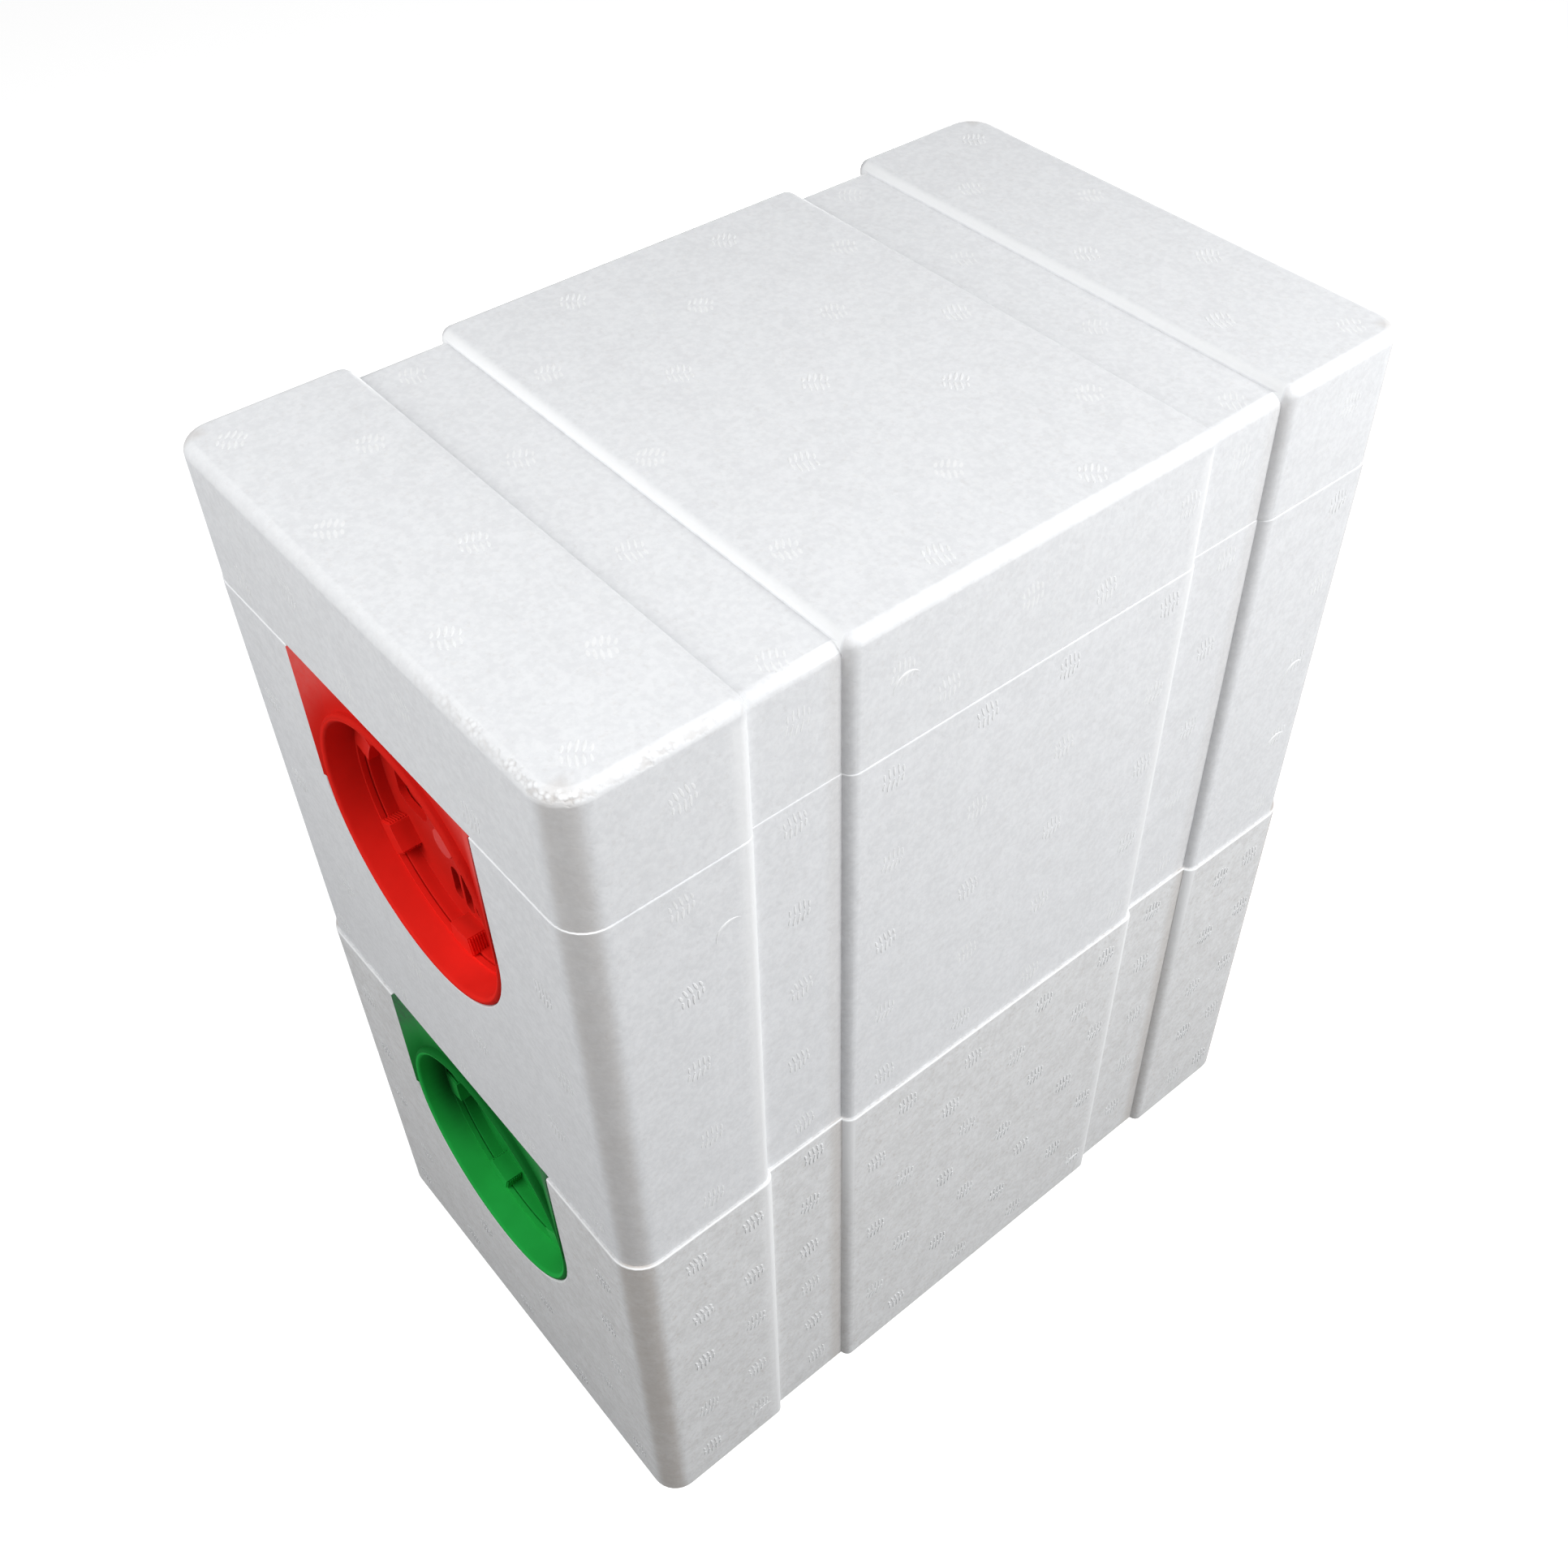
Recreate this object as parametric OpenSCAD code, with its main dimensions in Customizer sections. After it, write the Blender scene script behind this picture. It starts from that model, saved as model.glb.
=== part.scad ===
// Foam nuc box: two stacked bodies under one lid, each with a turning entrance,
// comb frames, a feeder and a ventilated floor.
// The entrance face looks along -Y and the box stands on z = 0.

/* [Box] */
// Width across the side faces at a rim
box_w = 175; // [165:1:200]
// Length from the entrance face to the rear face at a rim
box_l = 283; // [270:1:320]
// Height of the lower body from its foot to its rim
lower_h = 152; // [146:1:180]
// Height of the upper body from its foot to its rim
upper_h = 147; // [146:1:180]
// Height of the lid
lid_h = 43; // [30:1:60]
// Thickness of the foam walls
wall_t = 24; // [23:0.5:28]
// Thickness of a foam floor together with the pocket under it
floor_t = 24; // [20:1:28]
// Lean of each outer wall, which is narrower at its foot
draft = 1; // [0.4:0.1:1.6]
// Radius of the upright outer corners at a rim
corner_r = 10; // [6:0.5:14]
// Rounding of the lid's top edges
edge_r = 3.5; // [2:0.5:4]
// Radius of the upright corners inside a body
cavity_r = 6; // [3:0.5:10]

/* [Strap channels] */
// Width of a strap channel
channel_w = 27; // [22:1:34]
// Depth of a strap channel
channel_d = 2.8; // [1.5:0.1:4]
// Length of the raised block between an end face and its channel
end_block_l = 51.5; // [44:0.5:60]
// Rounding of the raised blocks beside a channel
block_r = 4; // [2.5:0.5:6]

/* [Rim joint] */
// Width of the outer seat that carries the piece above
seat_w = 8; // [6:0.5:9]
// Thickness of the tongue along the side walls
tongue_t = 8; // [6:0.5:9]
// Height of the tongue above the rim
tongue_h = 6; // [4:0.5:8]
// Corner radius of the tongue
tongue_r = 5; // [3:0.5:8]
// Play round the tongue
tongue_play = 0.5; // [0.3:0.1:1]
// Thickness of the clear cover sheet that lies on the tongue
sheet_t = 1.5; // [0.8:0.1:2]

/* [Entrance insert] */
// Radius of the round end of the slot in the front wall
slot_r = 44; // [42:0.5:46]
// Drop from the rim to the centre of the entrance
entrance_drop = 47; // [47:0.5:52]
// Depth of the groove in the slot's sides that holds the insert's key
groove_w = 4; // [2:0.5:6]
// Distance from the round lip to the key
key_set = 12; // [9:0.5:14]
// Thickness of the key
key_t = 2.4; // [1.8:0.1:3]
// Set-back of the round lip behind the wall face
rim_set = 0.6; // [0:0.1:1]
// Set-back of the front plate behind the round lip
plate_set = 2.2; // [1:0.1:3]
// Thickness of the front plate
plate_t = 2.4; // [1.8:0.1:3]
// Width of the sloping border at each side of the front plate
border_w = 9; // [5:0.5:12]
// Height of the border's edge in front of the round lip
border_proud = 0.4; // [0.2:0.1:0.6]
// Moulded wall of the insert
insert_t = 2.4; // [1.8:0.1:2.6]
// Depth of the tunnel from the lip to the back of its throat
tunnel_l = 10.5; // [8:0.5:11]
// Step from the inside of the lip in to the throat
throat_in = 1.9; // [1.5:0.1:3]
// Depth of the step in front of the throat
throat_step = 1.6; // [1:0.1:2.5]
// Play between the turn cup and its bore
cup_play = 0.4; // [0.3:0.05:0.5]
// Length of the turn cup behind the throat
cup_l = 5.9; // [5:0.1:6.5]
// Thickness of the turn cup's disc
disc_t = 2.2; // [1.6:0.1:2.6]
// Number of finger ridges inside the turn cup
ridge_count = 6; // [4:1:8]
// Height of a finger ridge inwards from the cup's collar
ridge_h = 6; // [3:0.5:6]
// Reach of a finger ridge through the throat
ridge_reach = 2.5; // [1:0.1:3.5]
// Margin between the flight window and the finger ridges
window_margin = 1.2; // [0.8:0.1:3]
// Width of the flight window
window_w = 18; // [12:0.5:18]
// Height of the flight window
window_h = 15; // [10:0.5:15]
// Corner radius of the flight window
window_r = 4; // [2:0.5:5]
// Width of a queen excluder slot
excluder_gap = 4.2; // [4:0.1:4.4]
// Radius of a ventilation hole
vent_hole_r = 1.3; // [1:0.1:1.5]
// Radius of the pivot rivet's shank
pivot_r = 2.5; // [2:0.1:3]
// Turn of the upper cup from its open setting
upper_turn = 90; // [0:90:270]
// Turn of the lower cup from its open setting
lower_turn = 0; // [0:90:270]

/* [Comb frames] */
// Number of comb frames in each body
frame_count = 4; // [3:1:5]
// Distance from frame to frame
frame_pitch = 35; // [33:0.5:36]
// Gap between the frames and the floor of the shallower body
frame_foot_gap = 9; // [6:0.5:20]
// Width of the top bar and of the end bars below their shoulders
bar_w = 22; // [18:1:26]
// Thickness of the top bar
top_bar_t = 8; // [6:0.5:10]
// Thickness of an end bar
end_bar_t = 7; // [5:0.5:9]
// Height of the spacing shoulders on an end bar
shoulder_h = 36; // [20:1:50]
// Thickness of the bottom bar
bottom_bar_t = 6; // [4:0.5:8]
// Width of the bottom bar
bottom_bar_w = 14; // [10:1:20]
// Thickness of the wax foundation
foundation_t = 1.4; // [1:0.1:2]
// Depth of the foundation's groove in the top bar
foundation_seat = 3; // [2:0.5:4]
// Gap that bees keep free between a frame and a wall
bee_space = 6.5; // [5:0.5:8]
// Drop of the top bars below the rim
top_drop = 1; // [0:0.5:3]

/* [Feeder] */
// Gap between the feeder tub and the floor of the shallower body
feeder_foot_gap = 11.5; // [4:0.5:30]
// Wall of the feeder tub
feeder_t = 2; // [1.5:0.1:3]
// Gap between the tub and the foam walls
feeder_gap = 3; // [2:0.5:5]
// Corner radius of the tub
feeder_r = 8; // [5:0.5:12]
// Thickness of the hanging flange
flange_t = 2.5; // [2:0.1:4]
// Thickness of the float
float_t = 6; // [4:0.5:8]
// Play round the float
float_play = 1.5; // [1:0.5:3]

/* [Floor grille] */
// Width of the grille across the box
grille_w = 90; // [60:1:100]
// Length of the grille along the box
grille_l = 60; // [40:1:80]
// Thickness of the grille
grille_t = 2; // [1.5:0.1:3]
// Ledge in the floor that carries the grille
grille_ledge = 6; // [4:0.5:9]
// Width of a grille slot
grille_slot_w = 3; // [2:0.1:3.4]

/* [Hidden] */
$fn = 64;
hull_fn = 32;
overrun = 1;
roof_play = 0.5;
insert_play = 0.3;
end_play = 0.3;
top_play = 0.2;
lug_play = 0.75;
shoulder_play = 0.15;
sheet_play = 0.2;
pivot_play = 0.05;
rivet_gap = 0.1;
hub_r = 6;
hub_l = 2.5;
back_t = 2;
rivet_head_r = 4.6;
rivet_head_t = 1.3;
back_window_extra = 2;
excluder_bar = 1.3;
vent_ring_share = 0.62;
ridge_arc_share = 0.26;
ridge_turn = 55;
ridge_play = 0.6;
foundation_play = 0.3;
shoulder_slope_share = 0.25;
grille_r = 5;
grille_pitch_share = 2;
float_slot_w = 4;
float_slot_pitch = 11;
float_rim = 9;

upper_z = lower_h;
lid_z = lower_h + upper_h;
inner_w = box_w - 2 * wall_t;
inner_l = box_l - 2 * wall_t;
lug_w = wall_t - seat_w - tongue_t;
lug_drop = top_drop + top_bar_t;
tongue_w = box_w - 2 * seat_w;
tongue_l = box_l - 2 * seat_w;
pocket_d = tongue_h + sheet_t + roof_play;
rebate_l = inner_l - 2 * cavity_r;

skirt_r = slot_r - insert_play;
skirt_l = wall_t - rim_set;
rim_in_r = skirt_r - insert_t;
cup_r = rim_in_r - cup_play;
cup_z = tunnel_l + end_play;
disc_z = cup_z + cup_l - disc_t;
back_z = cup_z + cup_l + end_play;
hub_z = disc_z - hub_l;
throat_r = rim_in_r - throat_in;
ridge_out_r = throat_r - ridge_play;
collar_in_r = ridge_out_r - ridge_play;
ridge_in_r = collar_in_r - ridge_h;
window_set = ridge_in_r - window_margin - window_h / 2;

inner_h = min(lower_h, upper_h) - floor_t;
frame_h = inner_h - top_drop - frame_foot_gap;
top_bar_l = inner_w + 2 * lug_w - 2 * lug_play;
frame_w = inner_w - 2 * bee_space;
frame_span = frame_w - 2 * end_bar_t;
frames_y = -inner_l / 2 + bee_space;
frames_l = frame_count * frame_pitch;
feeder_y0 = frames_y + frames_l + feeder_gap;
feeder_y1 = inner_l / 2 - feeder_gap;
feeder_l = feeder_y1 - feeder_y0;
feeder_w = inner_w - 2 * feeder_gap;
feeder_h = inner_h - lug_drop + flange_t - feeder_foot_gap;
grille_y = frames_y + frames_l / 2;

foam_white = [0.93, 0.93, 0.92];
insert_red = [0.80, 0.10, 0.08];
insert_green = [0.10, 0.48, 0.20];
pine = [0.82, 0.66, 0.42];
wax = [0.90, 0.72, 0.30];
clear_sheet = [0.82, 0.88, 0.90, 0.45];
tub_white = [0.88, 0.88, 0.84];
grille_grey = [0.32, 0.33, 0.34];

LEVELS = ["upper", "lower"];
FRAME_PIECES = ["top_bar", "end_bars", "bottom_bar", "foundation"];
BODY_PIECES = ["body", "cover_sheet", "entrance_housing", "turn_cup", "pivot_rivet", "floor_grille", "feeder",
    "feeder_float"];

function piece_name(level, piece) = str(level, "_", piece);
function frame_piece_name(level, i, piece) = str(level, "_frame_", i, "_", piece);
function foot_z(level) = level == "upper" ? upper_z : 0;
function body_h(level) = level == "upper" ? upper_h : lower_h;
function insert_colour(level) = level == "upper" ? insert_red : insert_green;
function cup_turn(level) = level == "upper" ? upper_turn : lower_turn;
function frame_y(i) = frames_y + (i - 0.5) * frame_pitch;

// Rectangle with round corners, centred
module rounded_plan(w, l, r) {
    square([w - 2 * r, l], center = true);
    square([w, l - 2 * r], center = true);
    for (x = [-1, 1])
        for (y = [-1, 1])
            translate([x * (w / 2 - r), y * (l / 2 - r)])
                circle(r);
}

// Straight slot with round ends, centred
module round_slot(w, l) {
    square([w, l - w], center = true);
    for (y = [-1, 1])
        translate([0, y * (l - w) / 2])
            circle(w / 2);
}

// Raised block of a body between two places along the box, leaning in towards its foot
module body_block(half_w, y0, y1, r0, r1, h) {
    hull()
        for (side = [-1, 1]) {
            translate([side * (half_w - r0), y0 + r0, 0])
                cylinder(h = h, r1 = r0 - draft, r2 = r0, $fn = hull_fn);
            translate([side * (half_w - r1), y1 - r1, 0])
                cylinder(h = h, r1 = r1 - draft, r2 = r1, $fn = hull_fn);
        }
}

// Upright round post whose top edge is rounded
module soft_post(r, h) {
    rotate_extrude($fn = hull_fn) {
        square([r, h - edge_r]);
        square([r - edge_r, h]);
        intersection() {
            square([r, h]);
            translate([r - edge_r, h - edge_r])
                circle(edge_r, $fn = hull_fn);
        }
    }
}

// Raised block of the lid between two places along the box, with soft top edges
module lid_block(half_w, y0, y1, r0, r1, h) {
    hull()
        for (side = [-1, 1]) {
            translate([side * (half_w - r0), y0 + r0, 0])
                soft_post(r0, h);
            translate([side * (half_w - r1), y1 - r1, 0])
                soft_post(r1, h);
        }
}

// Solid outer form of a body: a core at the channel floors and three raised blocks
module body_form(h) {
    half_w = box_w / 2;
    end_y = box_l / 2;
    mid_y = end_y - end_block_l - channel_w;
    core_y = end_y - end_block_l / 2;
    body_block(half_w - channel_d, -core_y, core_y, block_r, block_r, h);
    body_block(half_w, -end_y, -end_y + end_block_l, corner_r, block_r, h);
    body_block(half_w, -mid_y, mid_y, block_r, block_r, h);
    body_block(half_w, end_y - end_block_l, end_y, block_r, corner_r, h);
}

// Solid outer form of the lid, with the channels running over its top
module lid_form() {
    half_w = box_w / 2;
    end_y = box_l / 2;
    mid_y = end_y - end_block_l - channel_w;
    core_y = end_y - end_block_l / 2;
    lid_block(half_w - channel_d, -core_y, core_y, block_r, block_r, lid_h - channel_d);
    lid_block(half_w, -end_y, -end_y + end_block_l, corner_r, block_r, lid_h);
    lid_block(half_w, -mid_y, mid_y, block_r, block_r, lid_h);
    lid_block(half_w, end_y - end_block_l, end_y, block_r, corner_r, lid_h);
}

// Pocket under a body or the lid that drops over the tongue below
module foot_pocket() {
    translate([0, 0, -overrun])
        linear_extrude(pocket_d + overrun)
            rounded_plan(tongue_w + 2 * tongue_play, tongue_l + 2 * tongue_play, tongue_r);
}

// Frame of the entrance: depth runs along local z, and local y points down
module at_entrance(h) {
    translate([0, rim_set - box_l / 2, h - entrance_drop])
        rotate([-90, 0, 0])
            children();
}

// Outline of the entrance slot: a round end with straight sides that run up
module slot_plan(r, up) {
    intersection() {
        circle(r);
        translate([-r, 0])
            square([2 * r, r]);
    }
    translate([-r, -up])
        square([2 * r, up]);
}

// Slot through the front wall, with the groove that holds the insert's key
module entrance_cut(h) {
    up = entrance_drop + tongue_h + overrun;
    at_entrance(h) {
        translate([0, 0, -rim_set - overrun])
            linear_extrude(wall_t + 2 * overrun)
                slot_plan(slot_r, up);
        translate([0, 0, key_set - insert_play])
            linear_extrude(key_t + 2 * insert_play)
                slot_plan(slot_r + groove_w, up);
    }
}

// Ventilation hole in a floor, with the ledge that carries the grille
module vent_cut() {
    translate([0, grille_y, 0]) {
        linear_extrude(floor_t)
            rounded_plan(grille_w - 2 * grille_ledge, grille_l - 2 * grille_ledge, grille_r);
        translate([0, 0, floor_t - grille_t])
            linear_extrude(grille_t + overrun)
                rounded_plan(grille_w + 2 * insert_play, grille_l + 2 * insert_play, grille_r);
    }
}

// Foam body: walls, floor, tongue, frame ledges, foot pocket, entrance slot and vent
module body(level) {
    h = body_h(level);
    color(foam_white)
        translate([0, 0, foot_z(level)])
            difference() {
                union() {
                    body_form(h);
                    translate([0, 0, floor_t])
                        linear_extrude(h - floor_t + tongue_h)
                            rounded_plan(tongue_w, tongue_l, tongue_r);
                }
                translate([0, 0, floor_t])
                    linear_extrude(h + tongue_h)
                        rounded_plan(inner_w, inner_l, cavity_r);
                translate([-inner_w / 2 - lug_w, -rebate_l / 2, h - lug_drop])
                    cube([inner_w + 2 * lug_w, rebate_l, lug_drop + tongue_h + overrun]);
                foot_pocket();
                entrance_cut(h);
                vent_cut();
            }
}

// Foam lid
module lid() {
    color(foam_white)
        translate([0, 0, lid_z])
            difference() {
                lid_form();
                foot_pocket();
            }
}

// Clear sheet that lies on the tongue
module cover_sheet(level) {
    color(clear_sheet)
        translate([0, 0, foot_z(level) + body_h(level) + tongue_h])
            linear_extrude(sheet_t)
                rounded_plan(tongue_w - 2 * sheet_play, tongue_l - 2 * sheet_play, tongue_r);
}

// Section of the insert: round lip, skirt, tunnel wall with its stepped throat, and back
module insert_section() {
    translate([rim_in_r, insert_t / 2])
        square([insert_t, skirt_l - insert_t / 2]);
    translate([rim_in_r + insert_t / 2, insert_t / 2])
        circle(insert_t / 2);
    polygon([
        [rim_in_r + insert_t / 2, insert_t / 2],
        [rim_in_r, insert_t / 2],
        [(rim_in_r + throat_r) / 2, tunnel_l - throat_step],
        [throat_r, tunnel_l - throat_step],
        [throat_r, tunnel_l],
        [rim_in_r + insert_t / 2, tunnel_l]
    ]);
    translate([pivot_r + pivot_play, back_z])
        square([rim_in_r + insert_t / 2 - pivot_r - pivot_play, back_t]);
}

// Flat sheet of the insert that fills a slot outline outside the skirt
module insert_sheet(r, t) {
    linear_extrude(t)
        difference() {
            slot_plan(r, entrance_drop - top_play);
            circle(rim_in_r + insert_t / 2);
        }
}

// Sloping border that runs down both sides of the front plate to the skirt
module plate_border() {
    foot = plate_set + plate_t / 2;
    difference() {
        for (side = [-1, 1])
            translate([0, top_play - entrance_drop, 0])
                rotate([-90, 0, 0])
                    linear_extrude(entrance_drop - top_play)
                        polygon([
                            [side * skirt_r, border_proud],
                            [side * skirt_r, -foot],
                            [side * (skirt_r - border_w), -foot],
                            [side * (skirt_r - border_w), -plate_set]
                        ]);
        translate([0, 0, -border_proud - overrun])
            cylinder(h = foot + border_proud + 2 * overrun, r = rim_in_r + insert_t / 2);
    }
}

// Moulded entrance housing: bordered front plate, tunnel, key and back with one window
module entrance_housing(level) {
    web_t = entrance_drop - top_play - rim_in_r;
    back_w = window_w + back_window_extra;
    back_h = window_h + back_window_extra;
    color(insert_colour(level))
        translate([0, 0, foot_z(level)])
            at_entrance(body_h(level)) {
                difference() {
                    union() {
                        rotate_extrude()
                            insert_section();
                        translate([0, 0, plate_set])
                            insert_sheet(skirt_r, plate_t);
                        translate([0, 0, key_set])
                            insert_sheet(skirt_r + groove_w, key_t);
                        plate_border();
                    }
                    translate([0, window_set, back_z - overrun])
                        linear_extrude(back_t + 2 * overrun)
                            rounded_plan(back_w, back_h, window_r);
                }
                translate([-skirt_r, top_play - entrance_drop, plate_set])
                    difference() {
                        cube([2 * skirt_r, web_t, skirt_l - plate_set]);
                        translate([skirt_r, entrance_drop - top_play, -overrun])
                            cylinder(h = skirt_l + overrun, r = rim_in_r + insert_t / 2);
                    }
            }
}

// Queen excluder window: a row of narrow slots with round ends
module excluder_plan() {
    step = excluder_gap + excluder_bar;
    for (i = [-1:1])
        translate([i * step, 0])
            round_slot(excluder_gap, window_h - 2 * abs(i) * excluder_bar);
}

// Ventilation window: a hole with six round it
module vent_plan() {
    circle(vent_hole_r);
    for (a = [0:60:300])
        rotate(a)
            translate([window_h / 2 * vent_ring_share, 0])
                circle(vent_hole_r);
}

// Turning closure: a disc with four settings, a collar and finger ridges
module turn_cup(level) {
    ridge_arc = 360 / ridge_count * ridge_arc_share;
    ridge_w = ridge_out_r - ridge_in_r;
    ridge_l = cup_l + ridge_reach - disc_t / 2;
    color(insert_colour(level))
        translate([0, 0, foot_z(level)])
            at_entrance(body_h(level))
                rotate(cup_turn(level))
                    difference() {
                        union() {
                            rotate_extrude() {
                                translate([0, disc_z])
                                    square([cup_r, disc_t]);
                                translate([0, hub_z])
                                    square([hub_r, hub_l + disc_t / 2]);
                                translate([collar_in_r, cup_z])
                                    square([cup_r - collar_in_r, cup_l]);
                            }
                            for (i = [0:ridge_count - 1])
                                rotate(ridge_turn - ridge_arc / 2 + i * 360 / ridge_count)
                                    rotate_extrude(angle = ridge_arc)
                                        translate([ridge_in_r, cup_z - ridge_reach])
                                            square([ridge_w, ridge_l]);
                        }
                        translate([0, 0, hub_z - overrun])
                            cylinder(h = hub_l + disc_t + 2 * overrun, r = pivot_r + pivot_play);
                        translate([0, 0, disc_z - overrun])
                            linear_extrude(disc_t + 2 * overrun) {
                                translate([0, window_set])
                                    rounded_plan(window_w, window_h, window_r);
                                rotate(-90)
                                    translate([0, window_set])
                                        excluder_plan();
                                rotate(90)
                                    translate([0, window_set])
                                        vent_plan();
                            }
                    }
}

// Moulded rivet that the turn cup turns on
module pivot_rivet(level) {
    head_z = hub_z - rivet_gap - rivet_head_t;
    color(insert_colour(level))
        translate([0, 0, foot_z(level)])
            at_entrance(body_h(level))
                rotate_extrude() {
                    translate([0, head_z])
                        square([rivet_head_r, rivet_head_t]);
                    translate([0, head_z])
                        square([pivot_r, back_z + back_t + rivet_head_t - head_z]);
                    translate([0, back_z + back_t])
                        square([rivet_head_r, rivet_head_t]);
                }
}

// Ventilation grille in the floor
module floor_grille(level) {
    open_w = grille_w - 2 * grille_ledge;
    open_l = grille_l - 2 * grille_ledge;
    pitch = grille_slot_w * grille_pitch_share;
    count = floor((open_w / 2 - grille_slot_w / 2) / pitch);
    color(grille_grey)
        translate([0, grille_y, foot_z(level) + floor_t - grille_t])
            linear_extrude(grille_t)
                difference() {
                    rounded_plan(grille_w, grille_l, grille_r);
                    for (i = [-count:count])
                        translate([i * pitch, 0])
                            round_slot(grille_slot_w, open_l);
                }
}

// Feeder tub hanging on the frame ledges
module feeder(level) {
    flange_z = body_h(level) - lug_drop;
    foot = flange_z + flange_t - feeder_h;
    flange_w = inner_w + 2 * lug_w - 2 * lug_play;
    color(tub_white)
        translate([0, (feeder_y0 + feeder_y1) / 2, foot_z(level)])
            difference() {
                union() {
                    translate([0, 0, foot])
                        linear_extrude(feeder_h)
                            rounded_plan(feeder_w, feeder_l, feeder_r);
                    translate([0, 0, flange_z])
                        linear_extrude(flange_t)
                            rounded_plan(flange_w, feeder_l - 2 * cavity_r, feeder_r);
                }
                translate([0, 0, foot + feeder_t])
                    linear_extrude(feeder_h)
                        rounded_plan(feeder_w - 2 * feeder_t, feeder_l - 2 * feeder_t, feeder_r - feeder_t);
            }
}

// Slotted float that rides on the syrup
module feeder_float(level) {
    float_w = feeder_w - 2 * feeder_t - 2 * float_play;
    float_l = feeder_l - 2 * feeder_t - 2 * float_play;
    count = floor((float_w / 2 - float_rim - float_slot_w / 2) / float_slot_pitch);
    foot = body_h(level) - lug_drop + flange_t - feeder_h + feeder_t;
    color(tub_white)
        translate([0, (feeder_y0 + feeder_y1) / 2, foot_z(level) + foot])
            linear_extrude(float_t)
                difference() {
                    rounded_plan(float_w, float_l, feeder_r - feeder_t);
                    for (i = [-count:count])
                        translate([i * float_slot_pitch, 0])
                            round_slot(float_slot_w, float_l - 2 * float_rim);
                }
}

// Height of the underside of a top bar
function ledge_z(level) = foot_z(level) + body_h(level) - lug_drop;

// Top bar of a frame, with its lugs on the ledges and a groove for the foundation
module top_bar(level, i) {
    color(pine)
        translate([0, frame_y(i), ledge_z(level)])
            difference() {
                translate([-top_bar_l / 2, -bar_w / 2, 0])
                    cube([top_bar_l, bar_w, top_bar_t]);
                translate([-frame_span / 2, -foundation_t / 2 - foundation_play, -overrun])
                    cube([frame_span, foundation_t + 2 * foundation_play, foundation_seat + overrun]);
            }
}

// Pair of end bars whose shoulders keep the frames apart
module end_bars(level, i) {
    bar_h = frame_h - top_bar_t;
    slope = shoulder_h * shoulder_slope_share;
    wide = frame_pitch / 2 - shoulder_play;
    color(pine)
        translate([0, frame_y(i), ledge_z(level)])
            for (x = [-frame_w / 2, frame_w / 2 - end_bar_t])
                translate([x, 0, 0])
                    rotate([90, 0, 90])
                        linear_extrude(end_bar_t)
                            polygon([
                                [-wide, 0],
                                [-wide, -shoulder_h],
                                [-bar_w / 2, -shoulder_h - slope],
                                [-bar_w / 2, -bar_h],
                                [bar_w / 2, -bar_h],
                                [bar_w / 2, -shoulder_h - slope],
                                [wide, -shoulder_h],
                                [wide, 0]
                            ]);
}

// Bottom bar between the end bars
module bottom_bar(level, i) {
    color(pine)
        translate([-frame_span / 2, frame_y(i) - bottom_bar_w / 2, ledge_z(level) + top_bar_t - frame_h])
            cube([frame_span, bottom_bar_w, bottom_bar_t]);
}

// Wax sheet between the bars, let into the top bar
module foundation(level, i) {
    foot = top_bar_t - frame_h + bottom_bar_t;
    color(wax)
        translate([-frame_span / 2, frame_y(i) - foundation_t / 2, ledge_z(level) + foot])
            cube([frame_span, foundation_t, foundation_seat - foot]);
}

lid();
for (level = LEVELS) {
    body(level);
    cover_sheet(level);
    entrance_housing(level);
    turn_cup(level);
    pivot_rivet(level);
    floor_grille(level);
    feeder(level);
    feeder_float(level);
    for (i = [1:frame_count]) {
        top_bar(level, i);
        end_bars(level, i);
        bottom_bar(level, i);
        foundation(level, i);
    }
}
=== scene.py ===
"""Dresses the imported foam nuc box: foam shells, coloured entrances, comb frames and feeders in a studio."""

import logging
import math
import random
from contextlib import contextmanager
from dataclasses import dataclass
from enum import Enum
from functools import lru_cache
from typing import Callable, Iterable, Iterator

import bpy
from mathutils import Euler, Matrix, Vector


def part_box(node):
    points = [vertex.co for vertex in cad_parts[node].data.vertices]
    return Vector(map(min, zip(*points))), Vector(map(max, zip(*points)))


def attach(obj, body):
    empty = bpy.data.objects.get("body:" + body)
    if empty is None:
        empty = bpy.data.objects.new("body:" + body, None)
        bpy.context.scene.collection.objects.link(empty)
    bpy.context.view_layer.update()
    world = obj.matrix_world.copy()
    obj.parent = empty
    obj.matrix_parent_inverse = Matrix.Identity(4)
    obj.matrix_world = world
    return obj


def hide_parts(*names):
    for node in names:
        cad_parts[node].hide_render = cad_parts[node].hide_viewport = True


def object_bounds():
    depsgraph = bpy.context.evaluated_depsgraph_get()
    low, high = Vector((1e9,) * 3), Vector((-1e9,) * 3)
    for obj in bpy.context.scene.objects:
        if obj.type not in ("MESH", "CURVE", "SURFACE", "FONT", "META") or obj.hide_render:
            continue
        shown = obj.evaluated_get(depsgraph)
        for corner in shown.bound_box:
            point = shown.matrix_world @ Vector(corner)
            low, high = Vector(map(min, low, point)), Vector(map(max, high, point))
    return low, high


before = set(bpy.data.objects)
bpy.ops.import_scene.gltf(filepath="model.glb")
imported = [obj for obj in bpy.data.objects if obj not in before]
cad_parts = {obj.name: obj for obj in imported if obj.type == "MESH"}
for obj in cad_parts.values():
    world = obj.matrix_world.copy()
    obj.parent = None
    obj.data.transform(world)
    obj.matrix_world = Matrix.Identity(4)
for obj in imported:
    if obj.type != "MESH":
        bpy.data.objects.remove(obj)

CAD_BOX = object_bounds()
MM = 0.001
MERGE_DISTANCE = 0.002 * MM
FLAT_ANGLE = math.radians(0.4)
SMOOTH_ANGLE = math.radians(38)
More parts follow.
